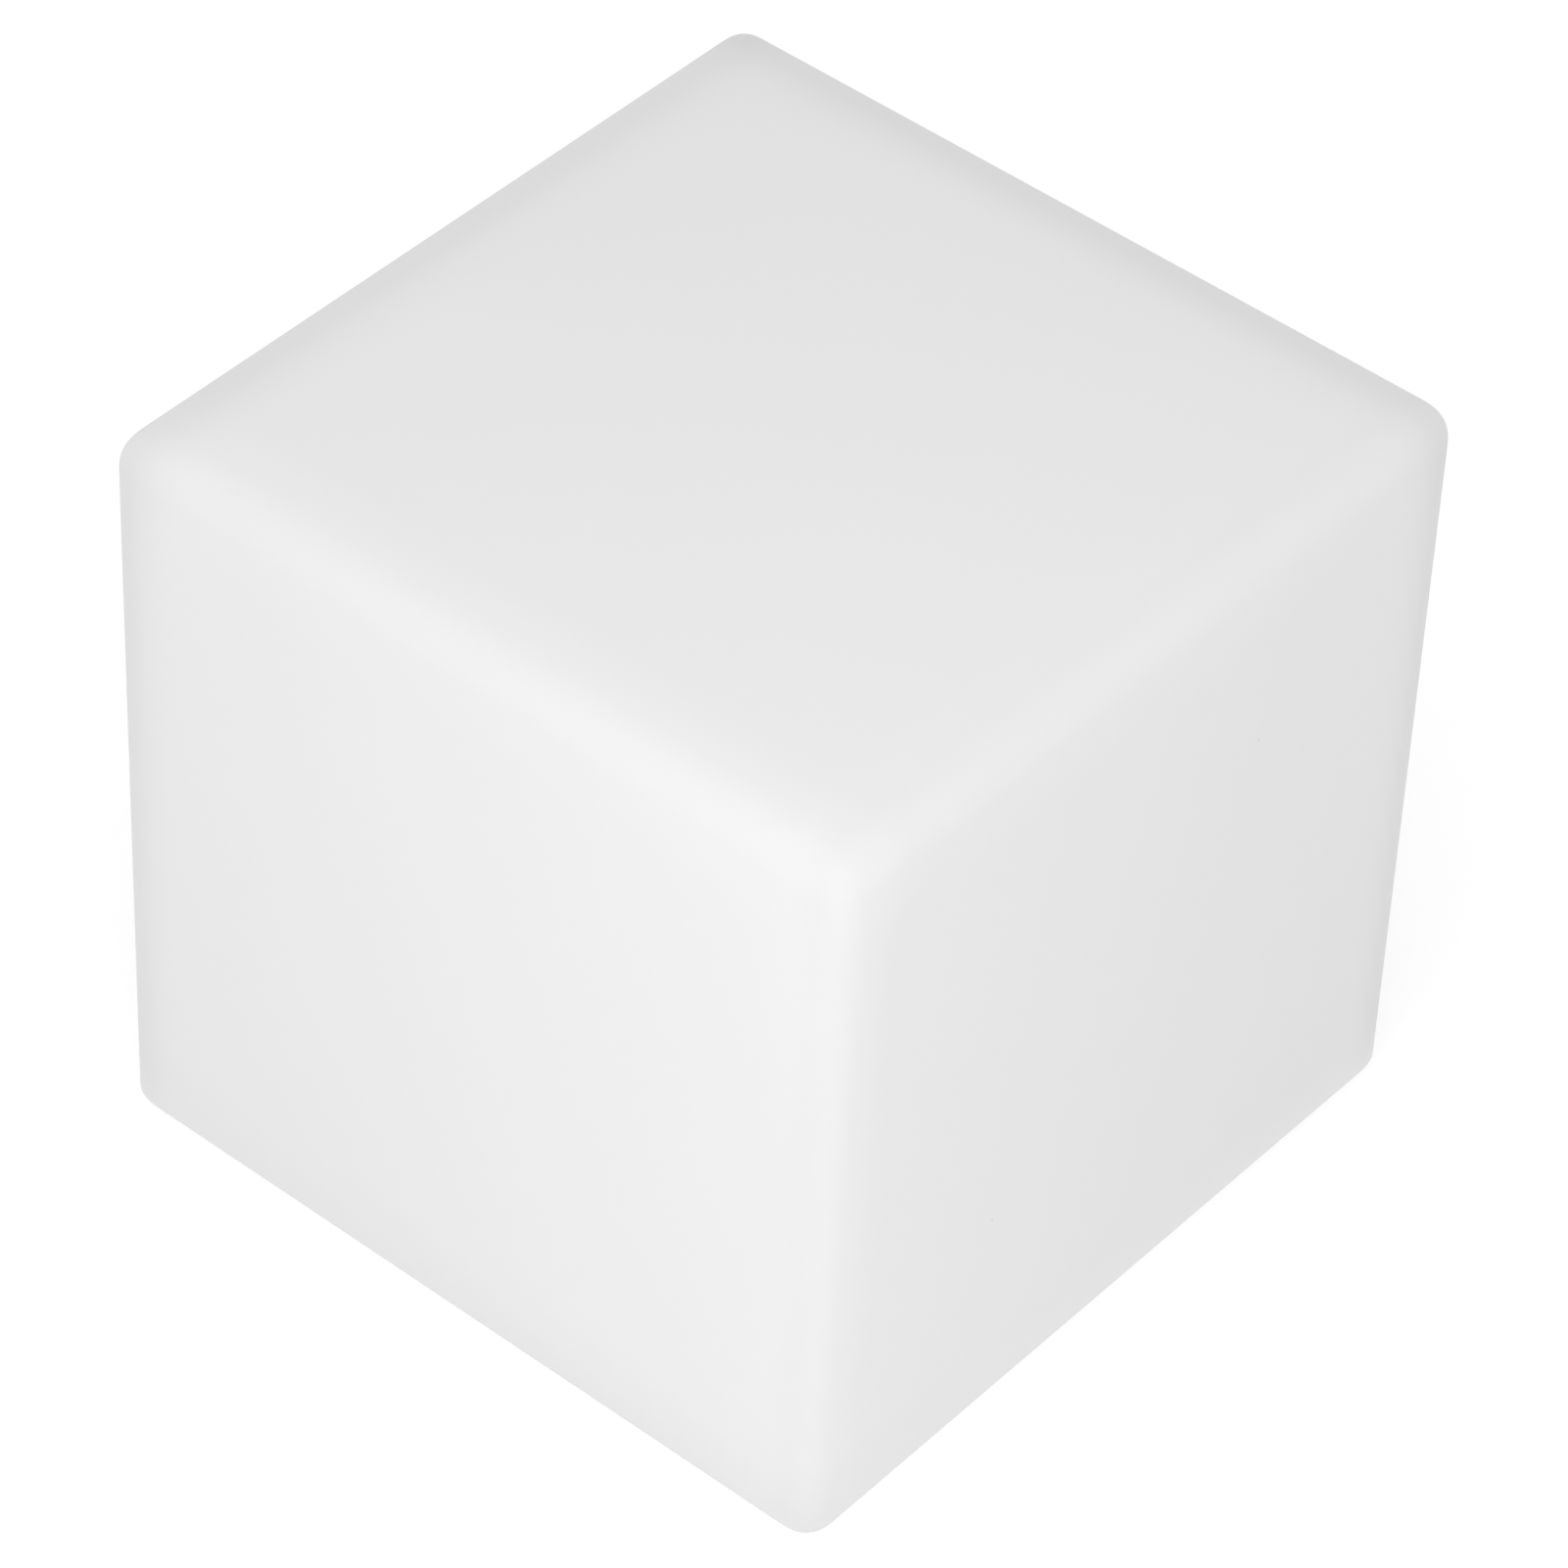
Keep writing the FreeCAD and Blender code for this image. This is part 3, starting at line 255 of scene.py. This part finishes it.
def frosted(name, colour):
    """Etched polycarbonate: milky, lit through, with a fine matt grain."""
    g = Graph(name)
    fine = g.noise(2400.0, 2.0)
    cloud = g.noise(50.0, 3.0)
    tint = g.mix(g.span(cloud, 0.3, 0.7, 0.0, 1.0), [v * 0.97 for v in colour], colour)
    normal = g.bump(fine, 0.2, 0.00005)
    g.surface(**{"Base Color": tint, "Roughness": g.span(fine, 0.2, 0.8, 0.38, 0.5), "Normal": normal, "IOR": 1.585,
                 "Transmission Weight": 0.75, "Subsurface Weight": 0.2, "Subsurface Scale": 0.002})
    return g.mat


def clear(name, colour):
    """Clear moulded light pipe with flow marks."""
    g = Graph(name)
    flow = g.noise(420.0, 3.0, 0.5, g.coords((1, 1, 0.2)), 0.8)
    normal = g.bump(flow, 0.15, 0.00004)
    tint = g.mix(g.span(flow, 0.3, 0.7, 0.0, 1.0), [v * 0.96 for v in colour], colour)
    g.surface(**{"Base Color": tint, "Roughness": g.span(flow, 0.2, 0.8, 0.04, 0.14), "Normal": normal, "IOR": 1.49,
                 "Transmission Weight": 0.85})
    return g.mat


def layered(name, case, inner, split_z, edge=0.0001):
    """A small moulded part whose case and filling meet at a height (LED packages)."""
    g = Graph(name)
    pos = g.node("ShaderNodeSeparateXYZ")
    g.link(g.place.outputs["Object"], pos.inputs[0])
    fill = g.span(pos.outputs[2], split_z - edge, split_z + edge, 1.0, 0.0)
    grain = g.noise(4200.0, 2.0)
    cloudy = g.noise(800.0, 3.0)
    tint = g.mix(fill, g.mix(g.span(cloudy, 0.3, 0.7, 0, 1), [v * 0.95 for v in case], case), g.mix(g.span(grain, 0.3, 0.7, 0, 1), [v * 0.9 for v in inner], inner))
    normal = g.bump(grain, 0.15, 0.00003)
    g.surface(**{"Base Color": tint, "Roughness": g.span(fill, 0.0, 1.0, 0.45, 0.18), "Normal": normal})
    return g.mat


def wrap(name, colour):
    """Printed-free shrink sleeve on a cell: glossy film with shrink ripples at the ends."""
    g = Graph(name)
    ripple = g.noise(160.0, 3.0, 0.5, g.coords((2.2, 0.35, 0.35)))
    fine = g.noise(1200.0, 2.0)
    tint = g.mix(g.span(fine, 0.3, 0.7, 0.0, 1.0), [v * 0.9 for v in colour], colour)
    normal = g.bump(ripple, 0.35, 0.00015)
    g.surface(**{"Base Color": tint, "Roughness": g.span(ripple, 0.2, 0.8, 0.2, 0.34), "Normal": normal, "Coat Weight": 0.4, "Coat Roughness": 0.12})
    return g.mat


def epoxy(name, colour):
    """Chip package: sandblasted black moulding compound."""
    g = Graph(name)
    fine = g.noise(3600.0, 3.0, 0.7)
    cloud = g.noise(500.0, 2.0)
    tint = g.mix(g.span(cloud, 0.3, 0.7, 0.0, 1.0), colour, [v * 1.6 + 0.01 for v in colour])
    normal = g.bump(fine, 0.35, 0.00004)
    g.surface(**{"Base Color": tint, "Roughness": g.span(fine, 0.2, 0.8, 0.5, 0.68), "Normal": normal})
    return g.mat


def insulation(name, colour):
    """Wire insulation: soft extrusion lines and a dry sheen."""
    g = Graph(name)
    lines = g.noise(1400.0, 2.0, 0.5, g.coords((1, 1, 0.3)))
    cloud = g.noise(180.0, 3.0)
    tint = g.mix(g.span(cloud, 0.3, 0.7, 0.0, 1.0), [v * 0.86 for v in colour], colour)
    normal = g.bump(lines, 0.2, 0.00003)
    g.surface(**{"Base Color": tint, "Roughness": g.span(lines, 0.2, 0.8, 0.36, 0.5), "Normal": normal})
    return g.mat


PE = moulded_polyethylene("polyethylene_white")
ABS = moulded("abs_collar", (0.78, 0.78, 0.775), 0.42)
ABS_BASE = moulded("abs_base", (0.80, 0.80, 0.795), 0.46, spark=0.6, size=1500.0, scatter=0.15)
INNER = moulded("abs_inner", (0.70, 0.70, 0.69), 0.40)
PAD = silicone("silicone_pad", (0.66, 0.66, 0.65), 0.58)
SEAL = silicone("silicone_seal", (0.30, 0.31, 0.32), 0.5, 0.2)
BUTTON = silicone("silicone_button", (0.60, 0.61, 0.63), 0.48)
FLAP = silicone("silicone_flap", (0.72, 0.72, 0.72), 0.52)
STEEL = metal("nickel_screw", (0.66, 0.66, 0.66), 0.30)
ZINC = metal("zinc_screw", (0.70, 0.71, 0.70), 0.34, tarnish=0.25)
SLEEVE = metal("drawn_sleeve", (0.72, 0.71, 0.70), 0.24, stretch=(1, 1, 12))
NICKEL = metal("nickel_strip", (0.74, 0.72, 0.68), 0.28, stretch=(1, 1, 10))
CAN = metal("aluminium_can", (0.80, 0.80, 0.82), 0.26, stretch=(1, 1, 0.2))
FERRITE = epoxy("ferrite_body", (0.05, 0.05, 0.055))
EPOXY = epoxy("chip_body", (0.014, 0.014, 0.016))
DARK = moulded("switch_black", (0.03, 0.03, 0.032), 0.4)
PLUNGER = moulded("plunger_grey", (0.09, 0.09, 0.095), 0.38)
WHITE_BOARD = board("board_white_mask", (0.84, 0.84, 0.83), (0.79, 0.79, 0.77))
GREEN_BOARD = board("board_green_mask", (0.012, 0.12, 0.05), (0.03, 0.24, 0.10))
DOME = frosted("frosted_dome", (0.93, 0.94, 0.95))
PIPE = clear("clear_pipe", (0.93, 0.96, 0.97))
TOP_Z = 0.040
RGB = layered("led_rgb", (0.86, 0.86, 0.82), (0.62, 0.60, 0.50), TOP_Z + 0.00135)
PHOS = layered("led_phosphor", (0.88, 0.88, 0.85), (0.90, 0.70, 0.10), TOP_Z + 0.00080)
LAMP = layered("indicator_lamp", (0.86, 0.86, 0.84), (0.55, 0.75, 0.60), 0.0121)
CELL = wrap("cell_sleeve", (0.05, 0.22, 0.42))
IVORY = moulded("connector_ivory", (0.74, 0.70, 0.56), 0.38)
RED = insulation("lead_red", (0.55, 0.02, 0.015))
BLACK = insulation("lead_black", (0.018, 0.018, 0.018))
GREY = insulation("lead_grey", (0.42, 0.42, 0.44))

LOOKS = {
    "foot_pads": PAD, "mounting_collar": ABS, "collar_screws": ZINC, "face_gasket": SEAL, "module_base": ABS_BASE,
    "light_dome": DOME, "dome_seal": SEAL, "dome_screws": STEEL, "led_board": WHITE_BOARD, "led_board_screws": STEEL,
    "rgb_leds": RGB, "white_leds": PHOS, "ir_receiver": EPOXY, "control_board": GREEN_BOARD, "control_board_screws": STEEL,
    "controller_chip": EPOXY, "driver_chips": EPOXY, "inductor": FERRITE, "capacitors": CAN, "charging_socket": SLEEVE,
    "tact_switch": DARK, "switch_plunger": PLUNGER, "charge_indicator": LAMP, "light_pipe": PIPE, "battery_cell": CELL,
    "battery_tabs": NICKEL, "battery_cradle": INNER, "battery_strap": INNER, "battery_strap_screws": STEEL,
    "battery_connector": IVORY, "battery_lead_red": RED, "battery_lead_black": BLACK, "link_sockets": IVORY,
    "board_link_leads": GREY, "power_button": BUTTON, "button_seal": SEAL, "charge_flap": FLAP, "flap_anchor": FLAP,
    "cube_shell": PE,
}
for name, obj in nodes.items():
    m = LOOKS[name]
    if obj.data.materials:
        for i in range(len(obj.data.materials)):
            obj.data.materials[i] = m
    else:
        obj.data.materials.append(m)

# ------------------------------------------------------------------ cube body
shell_lo, shell_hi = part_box("cube_shell")
HALF = (shell_hi.x - shell_lo.x) / 2
TOP = shell_hi.z
LOW = shell_lo.z
SKIN = 3 * MM
SIDE_R = 9.6 * MM      # upright edges
TOP_R = 10.4 * MM      # edges of the top face
RIM_R = 3.4 * MM       # outer lower edge
POWER = 3.0            # upright edges tighten towards their middle, as a cooled moulding's do
POWER_TOP = 2.32       # the top and bottom ones less so
FLAT_N, CORNER_N = 36, 16


def spread(u):
    """-1..1 to -1..1, with more points towards the ends."""
    return 0.55 * u + 0.45 * math.sin(0.5 * math.pi * u)


def square_ring(w, r, z, power=POWER):
    """Points round a square of half width w with corners of size r, from the middle of +X."""
    r = max(0.0, min(r, w))
    pts = []
    flat = w - r
    for quarter in range(4):
        side = [(w, flat * spread(-1 + 2 * k / FLAT_N)) for k in range(FLAT_N)]
        bend = []
        for k in range(CORNER_N):
            t = 0.5 * math.pi * k / CORNER_N
            bend.append((flat + r * math.cos(t) ** (2 / power) if r else w, flat + r * math.sin(t) ** (2 / power) if r else w))
        c, s = (1, 0, -1, 0)[quarter], (0, 1, 0, -1)[quarter]
        for x, y in side + bend:
            pts.append(Vector((x * c - y * s, x * s + y * c, z)))
    return pts


def round_ring(radius, z, like):
    """The same number of points on a circle, each in the direction of its neighbour in like."""
    return [Vector((radius * p.x / math.hypot(p.x, p.y), radius * p.y / math.hypot(p.x, p.y), z)) for p in like]


def mixed(a, b, f, z):
    return [Vector((p.x * (1 - f) + q.x * f, p.y * (1 - f) + q.y * f, z)) for p, q in zip(a, b)]


def quarter_turn(count, power=POWER_TOP):
    """(run, rise) pairs of a quarter bend, from (0, 0) to (1, 1)."""
    out = []
    for k in range(1, count + 1):
        t = 0.5 * math.pi * k / count
        out.append((1 - math.cos(t) ** (2 / power) if k < count else 1.0, math.sin(t) ** (2 / power)))
    return out


def smooth(t):
    return t * t * (3 - 2 * t)


rings = []
MOUTH = 50 * MM
DECK = 12 * MM
RECESS = 86 * MM
guide = square_ring(RECESS - 2 * MM, 14 * MM, DECK, 2.0)
# underside, from the mouth outwards
rings.append(round_ring(MOUTH, DECK + 0.4 * MM, guide))
rings.append(round_ring(MOUTH + 0.4 * MM, DECK, guide))
for k in range(1, 5):
    rings.append(round_ring(MOUTH + k * 4.0 * MM, DECK, guide))
edge = round_ring(MOUTH + 16 * MM, DECK, guide)
for k in range(1, 6):
    rings.append(mixed(edge, guide, k / 6, DECK))
rings.append(guide)
for run, rise in quarter_turn(6, 2.0):
    rings.append(square_ring(RECESS - 2 * MM * (1 - rise), 14 * MM + 2 * MM * rise, DECK - 2 * MM * run, 2.0))
for k in range(1, 4):
    rings.append(square_ring(RECESS, 16 * MM, DECK - 2 * MM - (DECK - 2 * MM - LOW - 1.4 * MM) * k / 3, 2.0))
for run, rise in quarter_turn(5, 2.0):
    rings.append(square_ring(RECESS + 1.4 * MM * run, (16 - 1.0 * run) * MM, LOW + 1.4 * MM * (1 - rise), 2.0))
w0, w1 = RECESS + 1.4 * MM, HALF - RIM_R
for k in range(1, 5):
    f = k / 4
    rings.append(square_ring(w0 + (w1 - w0) * f, 15 * MM + (SIDE_R - RIM_R - 15 * MM) * f, LOW, 2.0 + (POWER - 2.0) * f))
# outer lower edge, side, top edge
for run, rise in quarter_turn(10):
    rings.append(square_ring(w1 + RIM_R * rise, SIDE_R - RIM_R * (1 - rise), LOW + RIM_R * run))
side_low, side_high = LOW + RIM_R, TOP - TOP_R
for k in range(1, 57):
    rings.append(square_ring(HALF, SIDE_R, side_low + (side_high - side_low) * (0.5 + 0.5 * spread(-1 + 2 * k / 56))))
for run, rise in quarter_turn(20):
    inset = TOP_R * run
    rings.append(square_ring(HALF - inset, max(SIDE_R - inset, 0.15 * MM), side_high + TOP_R * rise))
w_top = HALF - TOP_R
for k in range(1, 41):
    f = math.sin(0.5 * math.pi * k / 41.0) * 0.15 + (k / 41.0) ** 1.35 * 0.85
    rings.append(square_ring(w_top * (1 - f) + 0.6 * MM * f, 0.15 * MM, TOP))
outer_count = len(rings)


# inside of the wall, from the middle of the top down to the mouth
inner = []
iw = HALF - SKIN
for k in range(0, 12):
    inner.append(square_ring(0.6 * MM + (iw - 7 * MM - 0.6 * MM) * k / 12.0, 0.15 * MM, TOP - SKIN))
for run, rise in quarter_turn(8, 2.0):
    inset = 7 * MM * (1 - rise)
    inner.append(square_ring(iw - inset, max(SIDE_R - SKIN - inset, 0.15 * MM), TOP - SKIN - 7 * MM * run, 2.0))
for k in range(1, 9):
    inner.append(square_ring(iw, SIDE_R - SKIN, TOP - SKIN - 7 * MM + (LOW + SKIN + 2 * MM - (TOP - SKIN - 7 * MM)) * k / 8, 2.0))
for run, rise in quarter_turn(4, 2.0):
    inner.append(square_ring(iw - 2 * MM * run, SIDE_R - SKIN - 2 * MM * run, LOW + SKIN + 2 * MM * (1 - rise), 2.0))
pw = RECESS + SKIN
for run, rise in [(0.0, 0.0)] + quarter_turn(4, 2.0):
    inner.append(square_ring(pw + 1.5 * MM * (1 - rise), 18 * MM, LOW + SKIN + 1.5 * MM * run, 2.0))
for run, rise in [(0.0, 0.0)] + quarter_turn(4, 2.0):
    inner.append(square_ring(pw - 3 * MM * run, (19 - 3 * run) * MM, DECK + SKIN - 3 * MM * (1 - rise), 2.0))
for k in range(1, 4):
    inner.append(mixed(inner[-1] if k == 1 else last_square, round_ring(MOUTH + 14 * MM, 0, guide), k / 3, DECK + SKIN))
    if k == 1:
        last_square = inner[-2]
inner.append(round_ring(MOUTH + 0.4 * MM, DECK + SKIN, guide))
inner.append(round_ring(MOUTH, DECK + SKIN - 0.4 * MM, guide))

mesh = bpy.data.meshes.new("cube_body_skin")
bm = bmesh.new()
outside = bm.verts.layers.int.new("outside")
n = 4 * (FLAT_N + CORNER_N)
rows = []
for i, ring in enumerate(rings):
    rows.append([bm.verts.new(p) for p in ring])
    if i >= outer_count - (10 + 56 + 20 + 40):
        for v in rows[-1]:
            v[outside] = 1
inner_rows = [[bm.verts.new(p) for p in ring] for ring in inner]


def strip(a, b):
    for k in range(n):
        j = (k + 1) % n
        bm.faces.new((a[k], a[j], b[j], b[k]))


for a, b in zip(rows, rows[1:]):
    strip(a, b)
for a, b in zip(inner_rows, inner_rows[1:]):
    strip(a, b)
strip(inner_rows[-1], rows[0])
bm.faces.new(rows[-1])
bm.faces.new(list(reversed(inner_rows[0])))
bmesh.ops.remove_doubles(bm, verts=bm.verts, dist=2e-6)
bmesh.ops.recalc_face_normals(bm, faces=bm.faces)
bm.to_mesh(mesh)
bm.free()
for p in mesh.polygons:
    p.use_smooth = True

# A rotationally moulded wall thickens and crowns gently into its edges, so the light rolls
# off over a much wider band than the tight outline of the edge itself: the outside's
# normals lean over that wider band.
ROLL_TOP, ROLL_SIDE, ROLL_LOW = 25.0 * MM, 19.0 * MM, 12.0 * MM
MID, HALF_Z = (TOP + LOW) / 2, (TOP - LOW) / 2


def leaning(p, base):
    up = smooth(max(0.0, min(1.0, (p.z - (TOP - 30 * MM)) / (26 * MM))))
    reach = ROLL_SIDE + (ROLL_TOP - ROLL_SIDE) * up
    n = []
    for v, half, r in ((p.x, HALF, reach), (p.y, HALF, reach), (p.z - MID, HALF_Z, ROLL_TOP if p.z > MID else ROLL_LOW)):
        u = max(0.0, min(1.0, (abs(v) - (half - r)) / r))
        n.append(math.copysign(u * u * (0.24 if p.z < MID and half == HALF_Z else 1.0), v))
    n = Vector(n).normalized()
    f = smooth(max(0.0, min(1.0, (p.z - LOW) / (1.6 * RIM_R))))
    return base.lerp(n, f).normalized()


tags = mesh.attributes["outside"].data
bases = [v.vector.copy() for v in mesh.vertex_normals]
leant = [leaning(v.co, bases[v.index]) if tags[v.index].value else Vector((0, 0, 0)) for v in mesh.vertices]
mesh.attributes.remove(mesh.attributes["outside"])
mesh.normals_split_custom_set_from_vertices(leant)
body = bpy.data.objects.new("cube_body_skin", mesh)
scene.collection.objects.link(body)
mesh.materials.append(PE)
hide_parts("cube_shell")
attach(body, "cube_body")

# six blind screw bosses moulded on the floor of the body, inside
def lathe(bm, profile, x, y, steps=36):
    """A closed profile of (radius, z) points turned about an upright axis at x, y."""
    loops = []
    for r, z in profile:
        if r < 1e-7:
            loops.append([bm.verts.new((x, y, z))] * steps)
        else:
            loops.append([bm.verts.new((x + r * math.cos(2 * math.pi * k / steps), y + r * math.sin(2 * math.pi * k / steps), z)) for k in range(steps)])
    for a, b in zip(loops, loops[1:]):
        for k in range(steps):
            j = (k + 1) % steps
            corners = []
            for v in (a[k], a[j], b[j], b[k]):
                if v not in corners:
                    corners.append(v)
            if len(corners) > 2:
                bm.faces.new(corners)


boss_mesh = bpy.data.meshes.new("cube_body_bosses")
bm = bmesh.new()
floor_z = DECK + SKIN
boss = [(0.0, floor_z - 0.6 * MM), (6.0 * MM, floor_z - 0.6 * MM), (6.0 * MM, floor_z), (5.3 * MM, floor_z + 0.2 * MM), (4.8 * MM, floor_z + 0.6 * MM), (4.5 * MM, floor_z + 1.4 * MM),
        (4.5 * MM, floor_z + 5.2 * MM), (4.26 * MM, floor_z + 5.76 * MM), (3.7 * MM, floor_z + 6.0 * MM), (0.0, floor_z + 6.0 * MM)]
for k in range(6):
    t = math.radians(30 + 60 * k)
    lathe(bm, boss, 58 * MM * math.cos(t), 58 * MM * math.sin(t))
bmesh.ops.recalc_face_normals(bm, faces=bm.faces)
bm.to_mesh(boss_mesh)
bm.free()
for p in boss_mesh.polygons:
    p.use_smooth = abs(p.normal.z) < 0.999
bosses = bpy.data.objects.new("cube_body_bosses", boss_mesh)
scene.collection.objects.link(bosses)
boss_mesh.materials.append(PE)
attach(bosses, "cube_body")

# ---------------------------------------------------------------------- stage


def floor_look():
    """Pale matt floor. It is one-sided, and thin air to rays that start within a
    thumb's width of it, so that a look from below isn't a look at a black sheet."""
    g = Graph("studio_floor")
    tone = g.noise(3.0, 3.0)
    tint = g.mix(g.span(tone, 0.3, 0.7, 0.0, 1.0), (0.90, 0.90, 0.90), (0.915, 0.915, 0.915))
    diffuse = g.node("ShaderNodeBsdfDiffuse")
    g.link(tint, diffuse.inputs["Color"])
    fine = g.noise(500.0, 2.0)
    g.link(g.bump(fine, 0.03, 0.0002), diffuse.inputs["Normal"])
    lift = g.node("ShaderNodeEmission")
    lift.inputs["Color"].default_value = (1, 1, 1, 1)
    path = g.node("ShaderNodeLightPath")
    g.link(g.math("MULTIPLY", path.outputs["Is Camera Ray"], FLOOR_LIFT), lift.inputs["Strength"])
    both = g.node("ShaderNodeAddShader")
    g.link(diffuse.outputs[0], both.inputs[0])
    g.link(lift.outputs[0], both.inputs[1])
    thin = g.node("ShaderNodeBsdfTransparent")
    side = g.node("ShaderNodeNewGeometry")
    short = g.math("LESS_THAN", path.outputs["Ray Length"], 0.022)
    short = g.math("MULTIPLY", short, g.math("SUBTRACT", 1.0, path.outputs["Is Camera Ray"]))
    gone = g.math("MAXIMUM", side.outputs["Backfacing"], short)
    pick = g.node("ShaderNodeMixShader")
    g.link(gone, pick.inputs[0])
    g.link(both.outputs[0], pick.inputs[1])
    g.link(thin.outputs[0], pick.inputs[2])
    g.link(pick.outputs[0], g.out.inputs["Surface"])
    return g.mat


FLOOR_LIFT = 0.26
floor_mesh = bpy.data.meshes.new("studio_floor")
R = 14.0
fbm = bmesh.new()
ringv = [fbm.verts.new((R * math.cos(2 * math.pi * k / 64), R * math.sin(2 * math.pi * k / 64), 0.0)) for k in range(64)]
fbm.faces.new(ringv)
fbm.to_mesh(floor_mesh)
fbm.free()
floor = bpy.data.objects.new("studio_floor", floor_mesh)
scene.collection.objects.link(floor)
floor_mesh.materials.append(floor_look())

# world: white to the camera, a pale tent with two broad soft glows to everything else
world = bpy.data.worlds.new("tent")
scene.world = world
world.use_nodes = True
wt = world.node_tree
wt.nodes.clear()
w_out = wt.nodes.new("ShaderNodeOutputWorld")
w_seen = wt.nodes.new("ShaderNodeBackground")
w_seen.inputs["Color"].default_value = (1, 1, 1, 1)
w_seen.inputs["Strength"].default_value = 1.0
w_tent = wt.nodes.new("ShaderNodeBackground")
w_tent.inputs["Color"].default_value = (1, 1, 1, 1)
TENT = 0.573
LOBES = [(120.0, 0.0, 0.547), (300.0, 0.0, 0.566)]     # azimuth, elevation, strength of broad soft glows
w_dir = wt.nodes.new("ShaderNodeTexCoord")
glow = None
for azimuth, elevation, strength in LOBES:
    a, e = math.radians(azimuth), math.radians(elevation)
    dot = wt.nodes.new("ShaderNodeVectorMath")
    dot.operation = "DOT_PRODUCT"
    wt.links.new(w_dir.outputs["Generated"], dot.inputs[0])
    dot.inputs[1].default_value = (math.sin(a) * math.cos(e), -math.cos(a) * math.cos(e), math.sin(e))
    keep = wt.nodes.new("ShaderNodeMath")
    keep.operation = "MAXIMUM"
    wt.links.new(dot.outputs["Value"], keep.inputs[0])
    keep.inputs[1].default_value = 0.0
    add = wt.nodes.new("ShaderNodeMath")
    add.operation = "MULTIPLY_ADD"
    wt.links.new(keep.outputs[0], add.inputs[0])
    add.inputs[1].default_value = strength
    if glow is None:
        add.inputs[2].default_value = TENT
    else:
        wt.links.new(glow, add.inputs[2])
    glow = add.outputs[0]
wt.links.new(glow, w_tent.inputs["Strength"])
w_mix = wt.nodes.new("ShaderNodeMixShader")
w_path = wt.nodes.new("ShaderNodeLightPath")
wt.links.new(w_path.outputs["Is Camera Ray"], w_mix.inputs[0])
wt.links.new(w_tent.outputs[0], w_mix.inputs[1])
wt.links.new(w_seen.outputs[0], w_mix.inputs[2])
wt.links.new(w_mix.outputs[0], w_out.inputs["Surface"])


def soft_box(name, azimuth, elevation, distance, size, power):
    data = bpy.data.lights.new(name, "AREA")
    data.shape = "DISK"
    data.size = size
    data.energy = power
    obj = bpy.data.objects.new(name, data)
    a, e = math.radians(azimuth), math.radians(elevation)
    back = Vector((math.sin(a) * math.cos(e), -math.cos(a) * math.cos(e), math.sin(e)))
    obj.location = Vector((0, 0, 0.1)) + back * distance
    obj.rotation_mode = "QUATERNION"
    obj.rotation_quaternion = (-back).to_track_quat("-Z", "Y")
    obj.visible_camera = False
    scene.collection.objects.link(obj)
    return obj


soft_box("key", 30.0, 22.0, 0.67, 0.60, 0.939)
soft_box("top", 38.0, 72.0, 0.50, 0.35, 0.195)

# --------------------------------------------------------------------- camera
YAW, PITCH, ROLL = math.radians(38.9362), math.radians(42.4519), math.radians(2.6442)
DIST, TX, TY, FOCAL = 7.9704 * 0.2, 0.0098 * 0.2, -0.041 * 0.2, 7555.48
back = Vector((math.sin(YAW) * math.cos(PITCH), -math.cos(YAW) * math.cos(PITCH), math.sin(PITCH)))
look = -back
right = look.cross(Vector((0, 0, 1))).normalized()
up = right.cross(look)
right2 = math.cos(ROLL) * right + math.sin(ROLL) * up
up2 = -math.sin(ROLL) * right + math.cos(ROLL) * up
eye = Vector((0, 0, LOW + 0.1)) + back * DIST + TX * right2 + TY * up2
cam_data = bpy.data.cameras.new("camera")
cam_data.sensor_fit = "AUTO"
cam_data.sensor_width = 36.0
cam_data.lens = 36.0 * FOCAL / 1601.0
cam_data.clip_start, cam_data.clip_end = 0.05, 60.0
cam = bpy.data.objects.new("camera", cam_data)
cam.matrix_world = Matrix(((right2.x, up2.x, back.x, eye.x), (right2.y, up2.y, back.y, eye.y), (right2.z, up2.z, back.z, eye.z), (0, 0, 0, 1)))
scene.collection.objects.link(cam)
scene.camera = cam

scene.view_settings.view_transform = "Standard"
scene.view_settings.look = "None"
scene.view_settings.exposure = 0.0
scene.view_settings.gamma = 1.0
